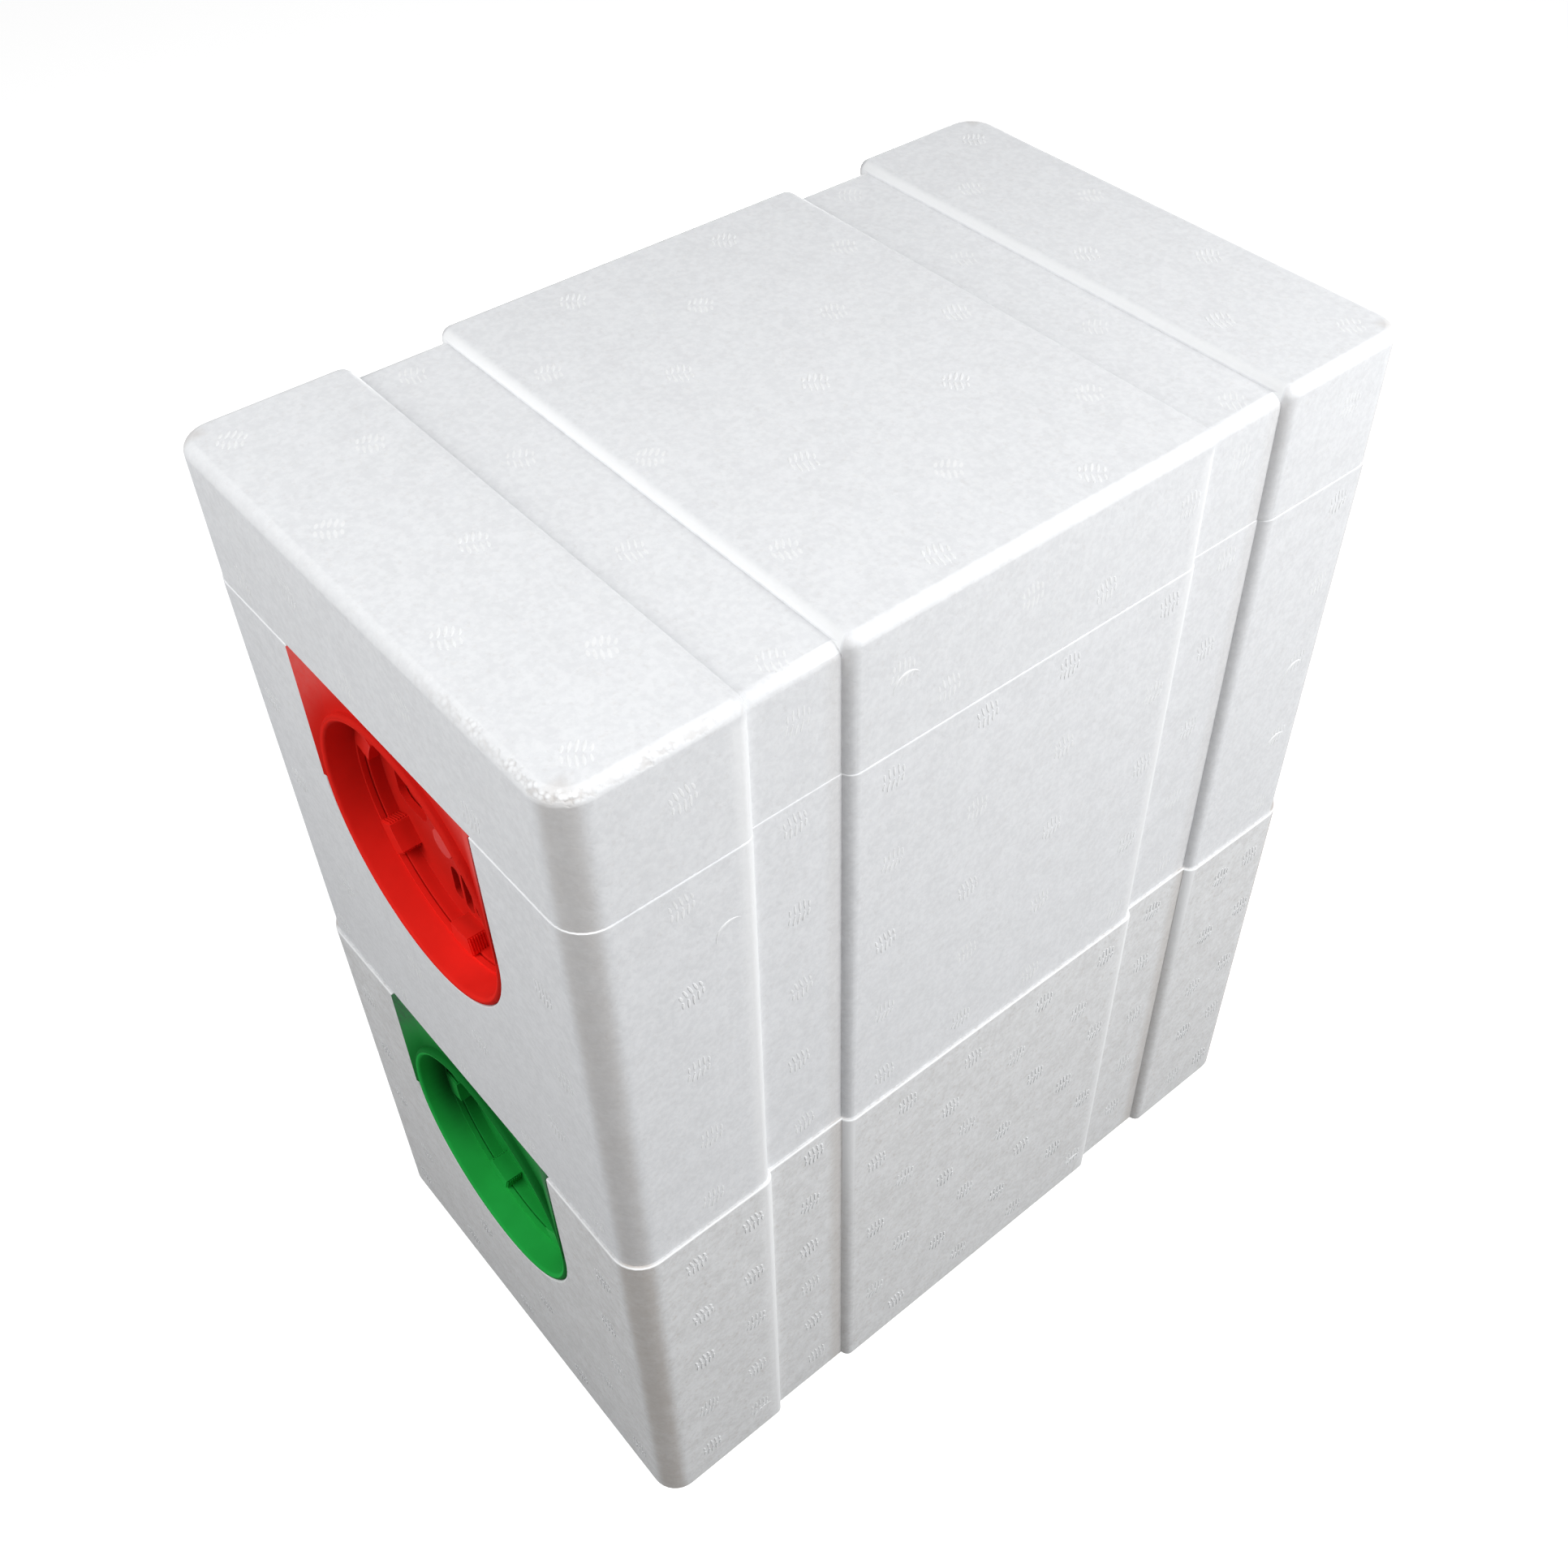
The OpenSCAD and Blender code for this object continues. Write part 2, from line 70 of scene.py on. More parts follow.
EDGE_TONE = "edge_tone"
FRAME_COUNT = 4
SCATTER_SEED = 11
LOG = logging.getLogger("nuc_box")

Colour = tuple[float, float, float]
Point = tuple[float, float, float]
Span = tuple[float, float]
Socket = bpy.types.NodeSocket


class Level(Enum):
    """The two stacked bodies."""

    UPPER = "upper"
    LOWER = "lower"

    def node(self, piece: str) -> str:
        """Full name of one of this body's pieces."""
        return f"{self.value}_{piece}"


class Grain(Enum):
    """Direction that the wood's fibres run in."""

    ALONG_BAR = (6.0, 90.0, 90.0)
    UPRIGHT = (90.0, 90.0, 6.0)


class Face(Enum):
    """Outer faces of the box, each by the direction that it looks in."""

    RIGHT = (1.0, 0.0, 0.0)
    LEFT = (-1.0, 0.0, 0.0)
    FRONT = (0.0, -1.0, 0.0)
    REAR = (0.0, 1.0, 0.0)
    TOP = (0.0, 0.0, 1.0)


# Modelling helpers

@lru_cache(maxsize=None)
def cad_box(node: str) -> tuple[Vector, Vector]:
    """Low and high corner of a CAD node."""
    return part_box(node)


def select_only(*objects: bpy.types.Object) -> None:
    """Deselects everything, then selects these objects.

    Args:
        *objects: The objects, the first of which becomes the active one.
    """
    bpy.ops.object.select_all(action="DESELECT")
    for obj in objects:
        obj.select_set(True)
    bpy.context.view_layer.objects.active = objects[0]


@contextmanager
def edit_mode(obj: bpy.types.Object, kind: str = "FACE") -> Iterator[None]:
    """Opens an object for editing.

    Args:
        obj: The mesh object to edit.
        kind: What is selected in it: VERT, EDGE or FACE.

    Returns:
        A context in which the object is open.
    """
    select_only(obj)
    bpy.ops.object.mode_set(mode="EDIT")
    bpy.ops.mesh.select_mode(type=kind)
    yield
    bpy.ops.object.mode_set(mode="OBJECT")


def resize_picked(obj: bpy.types.Object, wanted: Callable[[Vector], bool], value: Point,
                  about: Point) -> None:
    """Resizes the vertices of an object whose place is wanted.

    Args:
        obj: A mesh object in object mode.
        wanted: Test of a vertex's place.
        value: Factors along the three axes.
        about: The point that stays.
    """
    mesh = obj.data
    for polygon in mesh.polygons:
        polygon.select = False
    for edge in mesh.edges:
        edge.select = False
    for vertex in mesh.vertices:
        vertex.select = wanted(vertex.co)
    with edit_mode(obj, "VERT"):
        bpy.ops.transform.resize(value=value, center_override=about)


def apply_modifier(obj: bpy.types.Object, kind: str, **settings: object) -> None:
    """Adds one modifier with its settings and applies it.

    Args:
        obj: The mesh object.
        kind: Modifier type.
        **settings: Values of the modifier's properties.
    """
    select_only(obj)
    modifier = obj.modifiers.new(kind.lower(), kind)
    for key, value in settings.items():
        setattr(modifier, key, value)
    bpy.ops.object.modifier_apply(modifier=modifier.name)


def settle(obj: bpy.types.Object) -> bpy.types.Object:
    """Moves an object's place, turn and scale into its mesh.

    Args:
        obj: The mesh object.

    Returns:
        The same object.
    """
    select_only(obj)
    bpy.ops.object.transform_apply(location=True, rotation=True, scale=True)
    return obj


def new_object(name: str, data: bpy.types.ID) -> bpy.types.Object:
    """Makes an object and puts it in the scene.

    Args:
        name: Its name.
        data: Its mesh, lamp or camera.

    Returns:
        The new object.
    """
    obj = bpy.data.objects.new(name, data)
    bpy.context.scene.collection.objects.link(obj)
    return obj


def merged_copy(node: str, name: str) -> bpy.types.Object:
    """Copies a CAD node's mesh, merged and with its flat faces whole.

    Args:
        node: Name of the CAD node.
        name: Name of the new piece.

    Returns:
        The new object.
    """
    obj = new_object(name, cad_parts[node].data.copy())
    obj.data.materials.clear()
    with edit_mode(obj):
        bpy.ops.mesh.select_all(action="SELECT")
        bpy.ops.mesh.customdata_custom_splitnormals_clear()
        bpy.ops.mesh.remove_doubles(threshold=MERGE_DISTANCE)
        bpy.ops.mesh.dissolve_limited(angle_limit=FLAT_ANGLE)
    return obj


def shade(obj: bpy.types.Object) -> bpy.types.Object:
    """Shades the curves of a piece smoothly and keeps its sharp edges.

    Args:
        obj: The mesh object.

    Returns:
        The same object.
    """
    select_only(obj)
    bpy.ops.object.shade_smooth_by_angle(angle=SMOOTH_ANGLE)
    apply_modifier(obj, "WEIGHTED_NORMAL", keep_sharp=True)
    return obj


def fold(edge: bpy.types.MeshEdge, faces: list[bpy.types.MeshPolygon], mesh: bpy.types.Mesh) -> float:
    """Measures how sharply two faces meet.

    Args:
        edge: Their common edge.
        faces: The two faces.
        mesh: The mesh that holds them.

    Returns:
        The angle between their normals, below zero where the fold is hollow.
    """
    first, second = faces
    order = list(first.vertices)
    start, end = edge.vertices
    if order[(order.index(start) + 1) % len(order)] != end:
        start, end = end, start
    along = mesh.vertices[end].co - mesh.vertices[start].co
    hollow = first.normal.cross(along).dot(second.normal) > 0
    angle = first.normal.angle(second.normal, 0.0)
    return -angle if hollow else angle


def faces_by_edge(mesh: bpy.types.Mesh) -> dict[int, list[bpy.types.MeshPolygon]]:
    """Lists the faces on each edge of a mesh.

    Args:
        mesh: The mesh.

    Returns:
        The faces, by the edge's number.
    """
    found: dict[int, list[bpy.types.MeshPolygon]] = {}
    for polygon in mesh.polygons:
        for loop in polygon.loop_indices:
            found.setdefault(mesh.loops[loop].edge_index, []).append(polygon)
    return found


def tone_edges(obj: bpy.types.Object, breadth: float,
               own_tone: Callable[[Vector, Vector], float | None]) -> None:
    """Marks vertices by the light they catch.

    A mark is 2 where the foam paints a strong highlight, 1 on a raised edge where it paints a faint
    highlight, -1 in a hollow where it paints shade, and 0 elsewhere.

    Args:
        obj: The mesh object.
        breadth: Greatest breadth of a face in the band of an edge.
        own_tone: Tone for a place and its direction, or nothing where the edge's shape alone sets it.
    """
    mesh = obj.data
    widest = [0.0] * len(mesh.vertices)
    for polygon in mesh.polygons:
        corners = [mesh.vertices[i].co for i in polygon.vertices]
        around = sum((a - b).length for a, b in zip(corners, corners[1:] + corners[:1]))
        for i in polygon.vertices:
            widest[i] = max(widest[i], 2 * polygon.area / around)
    lift = [0.0] * len(mesh.vertices)
    for edge in mesh.edges:
        a, b = (mesh.vertices[i] for i in edge.vertices)
        lift[a.index] += (b.co - a.co).dot(a.normal)
        lift[b.index] += (a.co - b.co).dot(b.normal)
    tones = [0.0] * len(mesh.vertices)
    for vertex in mesh.vertices:
        if widest[vertex.index] <= breadth:
            own = own_tone(vertex.co, vertex.normal)
            tones[vertex.index] = -math.copysign(1.0, lift[vertex.index]) if own is None else own
    mesh.attributes.new(EDGE_TONE, "FLOAT", "POINT").data.foreach_set("value", tones)


def join(name: str, objects: Iterable[bpy.types.Object]) -> bpy.types.Object:
    """Joins objects into one piece with its place in its mesh.

    Args:
        name: Name of the joined piece.
        objects: The objects to join.

    Returns:
        The joined object.
    """
    members = list(objects)
    select_only(*members)
    bpy.ops.object.join()
    joined = settle(members[0])
    joined.name = name
    return joined


def finish_piece(obj: bpy.types.Object, material: bpy.types.Material, body: str, slot: str,
                 *nodes: str) -> bpy.types.Object:
    """Gives a piece its material, its body and the CAD nodes that it stands for.

    Args:
        obj: The piece.
        material: Its material.
        body: Name of the CAD body that it rides on.
        slot: The record's material slot; not used.
        *nodes: CAD nodes that it replaces.

    Returns:
        The piece.
    """
    obj.data.materials.clear()
    obj.data.materials.append(material)
    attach(obj, body)
    if nodes:
        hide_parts(*nodes)
    LOG.info("%s: %d faces on %s", obj.name, len(obj.data.polygons), body)
    return obj


def dress_node(node: str, rounding: float, segments: int, material: bpy.types.Material, body: str,
               slot: str) -> None:
    """Models a CAD node again with rounded edges and dresses it.

    Args:
        node: Name of the CAD node.
        rounding: Width of the edges' rounding.
        segments: Number of faces across it.
        material: The piece's material.
        body: Name of the CAD body that it rides on.
        slot: The record's material slot.
    """
    shape = merged_copy(node, f"{node}_shape")
    apply_modifier(shape, "BEVEL", width=rounding, segments=segments, limit_method="ANGLE",
                   angle_limit=SMOOTH_ANGLE, use_clamp_overlap=True)
    finish_piece(shade(shape), material, body, slot, node)


# Finishes

@dataclass(frozen=True)
class Cloud:
    """A cloudy noise: grains to the metre, layers of finer detail, and how strong these are."""

    scale: float
    detail: float = 3.0
    roughness: float = 0.55


class Graph:
    """The nodes of a material or of the surroundings, added one at a time."""

    def __init__(self, owner: bpy.types.Material | bpy.types.World) -> None:
        """Opens and empties the nodes of their owner.

        Args:
            owner: The material or the surroundings.
        """
        owner.use_nodes = True
        self.owner = owner
        self.nodes, self.links = owner.node_tree.nodes, owner.node_tree.links
        self.nodes.clear()

    def node(self, kind: str, inputs: dict[str | int, object], **settings: object) -> bpy.types.Node:
        """Adds a node.

        Args:
            kind: Node type without its ShaderNode prefix.
            inputs: Values or sockets for its inputs, by name or number.
            **settings: Values of the node's properties.

        Returns:
            The new node.
        """
        made = self.nodes.new("ShaderNode" + kind)
        for key, value in settings.items():
            setattr(made, key, value)
        for key, value in inputs.items():
            if isinstance(value, Socket):
                self.links.new(value, made.inputs[key])
            else:
                made.inputs[key].default_value = value
        return made

    def place(self, stretch: Point = (1.0, 1.0, 1.0)) -> Socket:
        """Reads the object's own coordinates.

        Args:
            stretch: Factors along the three axes.

        Returns:
            The stretched coordinates.
        """
        coordinates = self.node("TexCoord", {})
        mapping = self.node("Mapping", {"Vector": coordinates.outputs["Object"], "Scale": stretch})
        return mapping.outputs["Vector"]

    def split(self, vector: Socket) -> tuple[Socket, ...]:
        """The three parts of a vector."""
        return tuple(self.node("SeparateXYZ", {"Vector": vector}).outputs)

    def noise(self, place: Socket, cloud: Cloud) -> Socket:
        """Adds cloudy noise.

        Args:
            place: The coordinates.
            cloud: Its grain and detail.

        Returns:
            The noise, from 0 to 1.
        """
        made = self.node("TexNoise", {"Vector": place, "Scale": cloud.scale, "Detail": cloud.detail,
                                      "Roughness": cloud.roughness})
        return made.outputs["Fac"]

    def cells(self, place: Socket, width: float, feature: str) -> Socket:
        """Distance in a pattern of closed cells of about this width."""
        made = self.node("TexVoronoi", {"Vector": place, "Scale": 1 / width}, feature=feature)
        return made.outputs["Distance"]

    def sum(self, first: Socket, operation: str, second: Socket | float) -> Socket:
        """Result of a sum on two numbers."""
        return self.node("Math", {0: first, 1: second}, operation=operation).outputs["Value"]

    def product(self, first: Socket, *others: Socket | float) -> Socket:
        """Multiplies numbers.

        Args:
            first: The first number.
            *others: The rest.

        Returns:
            Their product.
        """
        for other in others:
            first = self.sum(first, "MULTIPLY", other)
        return first

    def vector(self, operation: str, first: Socket, second: Socket | Point = (0.0, 0.0, 0.0)) -> Socket:
        """Result of a sum on two vectors, which is a number for a distance, a length or a dot product."""
        made = self.node("VectorMath", {0: first, 1: second}, operation=operation)
        return made.outputs["Value" if operation in ("DISTANCE", "LENGTH", "DOT_PRODUCT") else "Vector"]

    def fit(self, value: Socket, span: Span, to: Span = (0.0, 1.0)) -> Socket:
        """Stretches a number smoothly from one span to another, held at its ends.

        Args:
            value: The number.
            span: Where it starts and ends.
            to: What these ends become.

        Returns:
            The stretched number.
        """
        made = self.node("MapRange", {"Value": value, "From Min": span[0], "From Max": span[1],
                                      "To Min": to[0], "To Max": to[1]}, interpolation_type="SMOOTHSTEP")
        return made.outputs["Result"]

    def blend(self, share: Socket, first: Colour | Socket, second: Colour | Socket) -> Socket:
        """Blends two colours."""
        tints = [tint if isinstance(tint, Socket) else (*tint, 1.0) for tint in (first, second)]
        return self.node("Mix", {"Factor": share, 6: tints[0], 7: tints[1]}, data_type="RGBA").outputs[2]

    def bump(self, height: Socket, relief: Span, below: Socket | None = None) -> Socket:
        """Adds surface relief.

        Args:
            height: The height over the surface, from 0 to 1.
            relief: Its depth in metres and its strength.
            below: An earlier relief that it lies on.

        Returns:
            The normal.
        """
        inputs = {"Height": height, "Distance": relief[0], "Strength": relief[1]}
        if below is not None:
            inputs["Normal"] = below
        return self.node("Bump", inputs).outputs["Normal"]

    def dress(self, **inputs: object) -> bpy.types.Material:
        """Ends the material in a surface.

        Args:
            **inputs: Values or sockets for the surface's inputs, named with _ for a space.

        Returns:
            The material.
        """
        surface = self.node("BsdfPrincipled", {key.replace("_", " "): value for key, value in inputs.items()})
        self.node("OutputMaterial", {"Surface": surface.outputs["BSDF"]})
        return self.owner


@dataclass(frozen=True)
class Crumble:
    """Crumbled stretch of the lid's top edge: where it is, how far and deep it reaches, and its crumbs."""

    place: Point = (0.084, -0.137, 0.341)
    reach: Span = (12.8 * MM, 64.0 * MM)
    depth: float = 3.0 * MM
    fade: float = 1.2 * MM
    patches: Cloud = Cloud(110.0, 2.0)
    patch_span: Span = (0.36, 0.52)
    patch_share: Span = (0.45, 1.0)
    ragged: Cloud = Cloud(300.0)
    ragged_reach: float = 6.0 * MM
    crumb: float = 1.6 * MM
    # The crumbs' hollows get painted shade and their crowns a painted highlight.
    hollow_span: Span = (0.25, 0.80)
    hollow_shade_share: float = 0.35
    crown_highlight_span: Span = (0.55, 0.10)
    relief: Span = (-0.40 * MM, 0.55)

    def strength(self, graph: Graph, top: float, outer: float, out: Socket) -> Socket:
        """Measures the crumbling, which keeps to the top edge's rounding and fades out round its place.

        Args:
            graph: The material's nodes.
            top: Height of the lid's top.
            outer: Radius of the box's corners.
            out: How far a place lies out from the centre line of the corners.

        Returns:
            The strength from 0 to 1.
        """
        place = graph.place()
        near = graph.fit(graph.vector("DISTANCE", place, self.place), self.reach, (1.0, 0.0))
        patches = graph.fit(graph.noise(place, self.patches), self.patch_span, self.patch_share)
        ragged = graph.sum(graph.noise(place, self.ragged), "SUBTRACT", 0.5)
        ragged = graph.product(ragged, self.ragged_reach)
        steps = []
        for value, limit in ((graph.split(place)[2], top - self.depth), (out, outer - self.depth)):
            steps.append(graph.fit(graph.sum(value, "ADD", ragged), (limit, limit + self.fade)))
        return graph.product(near, patches, *steps)


@dataclass(frozen=True)
class Chip:
    """Whitened chipped edge at the lower left of the lower body's entrance slot, partly a painted highlight
    on the lit edge.
    """

    centre: Point = (0.0, -0.1415, 0.105)
    edge: Span = (45.9 * MM, 46.2 * MM)
    ragged: Cloud = Cloud(350.0)
    ragged_reach: float = 1.6 * MM
    left: Span = (4.0 * MM, 14.0 * MM)
    front: Span = (2.0 * MM, 4.0 * MM)
    low: Span = (-34.0 * MM, -20.0 * MM)

    def strength(self, graph: Graph) -> Socket:
        """Measures the strength of the chipping.

        Args:
            graph: The material's nodes.

        Returns:
            The strength, from 0 to 1.
        """
        away = graph.vector("SUBTRACT", graph.place(), self.centre)
        out = graph.vector("LENGTH", graph.vector("MULTIPLY", away, (1.0, 0.0, 1.0)))
        ragged = graph.product(graph.noise(graph.place(), self.ragged), self.ragged_reach)
        edge = graph.fit(graph.sum(out, "ADD", ragged), self.edge, (1.0, 0.0))
        across, depth, height = graph.split(away)
        sides = [graph.fit(part, span, (1.0, 0.0))
                 for part, span in ((height, self.low), (across, self.left), (depth, self.front))]
        return graph.product(*sides, edge)


@dataclass(frozen=True)
class FoamFinish:
    """Moulded bead foam: fine grain, faint beads, dust, worn places, painted highlights on edges and painted
    shade on corners and in hollows.
    """

    name: str
    pale: Colour = (0.822, 0.834, 0.856)
    shade: Colour = (0.765, 0.776, 0.795)
    # Whitish colour of the bright specks, also used for painted highlights on edges, stripes and crumbs.
    rubbed_and_highlight: Colour = (0.95, 0.96, 0.97)
    dust: Colour = (0.52, 0.52, 0.52)
    # Grey brown of the pits between beads, also used for painted shade in hollows and on corners.
    grime_and_shade: Colour = (0.49, 0.44, 0.395)
    roughness: float = 0.66
    specular: float = 0.28
    bead: float = 3.2 * MM
    seam_span: Span = (0.0, 0.18)
    seam_relief: Span = (0.05 * MM, 0.30)
    grain: Cloud = Cloud(1100.0, 2.0)
    grain_relief: Span = (0.09 * MM, 0.35)
    mottle: Cloud = Cloud(130.0, 5.0, 0.72)
    mottle_span: Span = (0.3, 0.7)
    smear: Cloud = Cloud(120.0, 5.0, 0.7)
    smear_stretch: Point = (0.4, 1.0, 1.0)
    smear_span: Span = (0.60, 0.82)
    dust_share: float = 0.10
    speck: Cloud = Cloud(520.0, 2.0)
    speck_span: Span = (0.38, 0.66)
    speck_share: float = 0.20
    pits: Cloud = Cloud(640.0, 3.0, 0.6)
    pit_span: Span = (0.54, 0.72)
    pit_share: float = 0.10
    half_size: Span = (87.5 * MM, 141.5 * MM)
    corner_round: float = 10.0 * MM
    corner_span: Span = (0.6 * MM, 4.4 * MM)
    corner_dust_and_shade_share: float = 0.38
    patch_span: Span = (0.30, 0.65)
    patch_share: Span = (0.75, 1.0)
    # A painted highlight stripe runs beside each strap channel, and a painted shade stripe runs along each
    # channel's wall; the shade share also sets the painted shade in hollow edges and between crumbs.
    highlight_stripe_places: Span = (-93.0 * MM, 60.0 * MM)
    stripe_width: float = 5.0 * MM
    highlight_stripe_share: float = 0.72
    shade_stripe_places: Span = (-64.2 * MM, 88.8 * MM)
    hollow_shade_share: float = 0.16
    raised_highlight_share: float = 0.22
    top: float = 342.0 * MM
    edge_depth: float = 3.5 * MM
    chip: Chip | None = None
    crumble: Crumble | None = None

    def corner(self, graph: Graph) -> tuple[Socket, Socket]:
        """Measures a place in the plan.

        Args:
            graph: The material's nodes.

        Returns:
            How far it lies round a corner, and how far out from the corner's centre line.
        """
        inner = (*(v - self.corner_round for v in self.half_size), 0.0)
        size = graph.vector("ABSOLUTE", graph.place((1.0, 1.0, 0.0)))
        past = graph.vector("SUBTRACT", size, inner)
        across, along, _ = graph.split(past)
        return graph.sum(across, "MINIMUM", along), graph.vector("LENGTH", graph.vector("MAXIMUM", past))

    def stripe(self, graph: Graph, places: Span, share: float) -> Socket:
        """Measures a soft upright stripe on the long sides, beside each strap channel, for a painted
        highlight and for a painted shade.

        Args:
            graph: The material's nodes.
            places: The two stripes' places along the box.
            share: Strength in the middle of a stripe.

        Returns:
            The strength, from 0 to the share.
        """
        _, along, height = graph.split(graph.place())
        gaps = [graph.sum(graph.sum(along, "SUBTRACT", place), "ABSOLUTE", 0.0) for place in places]
        near = graph.fit(graph.sum(gaps[0], "MINIMUM", gaps[1]), (0.0, self.stripe_width), (share, 0.0))
        below = graph.fit(height, (self.top - 2 * self.edge_depth, self.top - self.edge_depth), (1.0, 0.0))
        return graph.product(near, below)

    def material(self) -> bpy.types.Material:
        """Builds the foam.

        Returns:
            The new material.
        """
        graph = Graph(bpy.data.materials.new(self.name))
        place = graph.place()
        smear = graph.noise(graph.place(self.smear_stretch), self.smear)
        mottle = graph.fit(graph.noise(place, self.mottle), self.mottle_span)
        colour = graph.blend(mottle, self.shade, self.pale)
        dusty = graph.product(graph.fit(smear, self.smear_span), self.dust_share)
        colour = graph.blend(dusty, colour, self.dust)
        specks = graph.fit(graph.noise(place, self.speck), self.speck_span, (0.0, self.speck_share))
        colour = graph.blend(specks, colour, self.rubbed_and_highlight)
        pits = graph.fit(graph.noise(place, self.pits), self.pit_span, (0.0, self.pit_share))
        colour = graph.blend(pits, colour, self.grime_and_shade)
        around, out = self.corner(graph)
        # Dust and painted shade on the rounded upright corners, in patches.
        corner_dust_and_shade = graph.product(graph.fit(around, self.corner_span, (0.0, self.corner_dust_and_shade_share)),
                               graph.fit(smear, self.patch_span, self.patch_share))
        colour = graph.blend(corner_dust_and_shade, colour, self.grime_and_shade)
        # Painted shade on the strap channels' walls, then a painted highlight beside the channels.
        colour = graph.blend(self.stripe(graph, self.shade_stripe_places, self.hollow_shade_share), colour, self.grime_and_shade)
        colour = graph.blend(self.stripe(graph, self.highlight_stripe_places, self.highlight_stripe_share), colour, self.rubbed_and_highlight)
        # Whitened, chipped slot edge, partly a painted highlight.
        if self.chip is not None:
            colour = graph.blend(self.chip.strength(graph), colour, self.rubbed_and_highlight)
        # Painted highlights on raised and strongly lit edges and painted shade in hollow edges, by the edge
        # tone.
        tone = graph.node("Attribute", {}, attribute_name=EDGE_TONE).outputs["Fac"]
        colour = graph.blend(graph.fit(tone, (0.0, 1.0), (0.0, self.raised_highlight_share)), colour, self.rubbed_and_highlight)
        colour = graph.blend(graph.fit(tone, (1.0, 2.0)), colour, self.rubbed_and_highlight)
        colour = graph.blend(graph.fit(tone, (0.0, -1.0), (0.0, self.hollow_shade_share)), colour, self.grime_and_shade)
        seam = graph.fit(graph.cells(place, self.bead, "DISTANCE_TO_EDGE"), self.seam_span)
        relief = graph.bump(seam, self.seam_relief)
        relief = graph.bump(graph.noise(place, self.grain), self.grain_relief, relief)
        if self.crumble is not None:
            worn = self.crumble.strength(graph, self.top, self.corner_round, out)
            crumbs = graph.cells(place, self.crumble.crumb, "F1")
            # Painted shade in the crumbs' hollows and a painted highlight on their crowns.
            hollow = graph.product(graph.fit(crumbs, self.crumble.hollow_span), worn)
            colour = graph.blend(graph.product(hollow, self.crumble.hollow_shade_share), colour, self.grime_and_shade)
            crown_highlight = graph.product(graph.fit(crumbs, self.crumble.crown_highlight_span), worn)
            colour = graph.blend(crown_highlight, colour, self.rubbed_and_highlight)
            relief = graph.bump(hollow, self.crumble.relief, relief)
        return graph.dress(Base_Color=colour, Roughness=self.roughness, Specular_IOR_Level=self.specular,
                           Normal=relief)


@dataclass(frozen=True)
class Soiling:
    """Dust and painted shade on an entrance insert, measured out from the middle of its tunnel."""

    middle: Point
    lip: float = 42.5 * MM
    corner: float = 58.0 * MM
    # Colour of the plate's corners: pale dust on the red insert, and on the green insert a dark colour that
    # paints shade over its plate.
    dust: Colour = (0.58, 0.50, 0.47)
    dust_share: float = 0.22
    dust_start: float = 2.0 * MM
    scuffs: Cloud = Cloud(400.0, 4.0, 0.7)
    scuff_span: Span = (0.30, 0.70)
    scuff_share: Span = (0.65, 1.0)
    plate_span: Span = (-0.3 * MM, 0.2 * MM)
    shadow_share: float = 0.35
    shadow_dim: float = 0.25
    gloom_span: Span = (-40.0 * MM, -4.0 * MM)
    gloom_share: float = 0.26
    gloom_dim: float = 0.10
    tunnel_span: Span = (-2.2 * MM, -1.0 * MM)
    wall_span: Span = (-9.0 * MM, -4.0 * MM)
    cup_gloom: float = 0.5
    back_span: Span = (-132.0 * MM, -128.0 * MM)
    back_shade_share: float = 0.30
    dull_span: Span = (-4.0 * MM, -2.0 * MM)
    dull_roughness: float = 0.45

    def from_lip(self, graph: Graph, out: Socket, span: Span, to: Span = (0.0, 1.0)) -> Socket:
        """Stretches a distance from the tunnel's middle over a span that is measured from the lip."""
        return graph.fit(out, (self.lip + span[0], self.lip + span[1]), to)

    def tint(self, graph: Graph, colour: Socket, deep: Colour, out: Socket) -> Socket:
        """Paints shade in the tunnel towards its top and at its back and on the plate beside the lip, and
        dusts the plate's corners.

        Args:
            graph: The material's nodes.
            colour: The plastic's own colour.
            deep: Its darker colour.
            out: How far a place lies out from the middle of the tunnel.

        Returns:
            The shaded colour.
        """
        shadow_colour = tuple(self.shadow_dim * v for v in deep)
        shadow = graph.product(graph.fit(out, (self.lip, self.corner), (self.shadow_share, 0.0)),
                               self.from_lip(graph, out, self.plate_span))
        colour = graph.blend(shadow, colour, shadow_colour)
        _, depth, height = graph.split(graph.place())
        # Painted shade in the tunnel's upper part.
        upper = graph.fit(height, tuple(self.middle[2] + v for v in self.gloom_span), (0.0, self.gloom_share))
        inside = self.from_lip(graph, out, self.tunnel_span, (1.0, 0.0))
        wall = self.from_lip(graph, out, self.wall_span, (self.cup_gloom, 1.0))
        gloom = graph.product(upper, inside, wall)
        colour = graph.blend(gloom, colour, tuple(self.gloom_dim * v for v in deep))
        # Painted shade deep at the tunnel's back.
        back_shade = graph.fit(depth, self.back_span, (0.0, self.back_shade_share))
        colour = graph.blend(back_shade, colour, shadow_colour)
        scuffs = graph.fit(graph.noise(graph.place(), self.scuffs), self.scuff_span, self.scuff_share)
        reach = graph.fit(out, (self.lip + self.dust_start, self.corner), (0.0, self.dust_share))
        return graph.blend(graph.product(reach, scuffs), colour, self.dust)


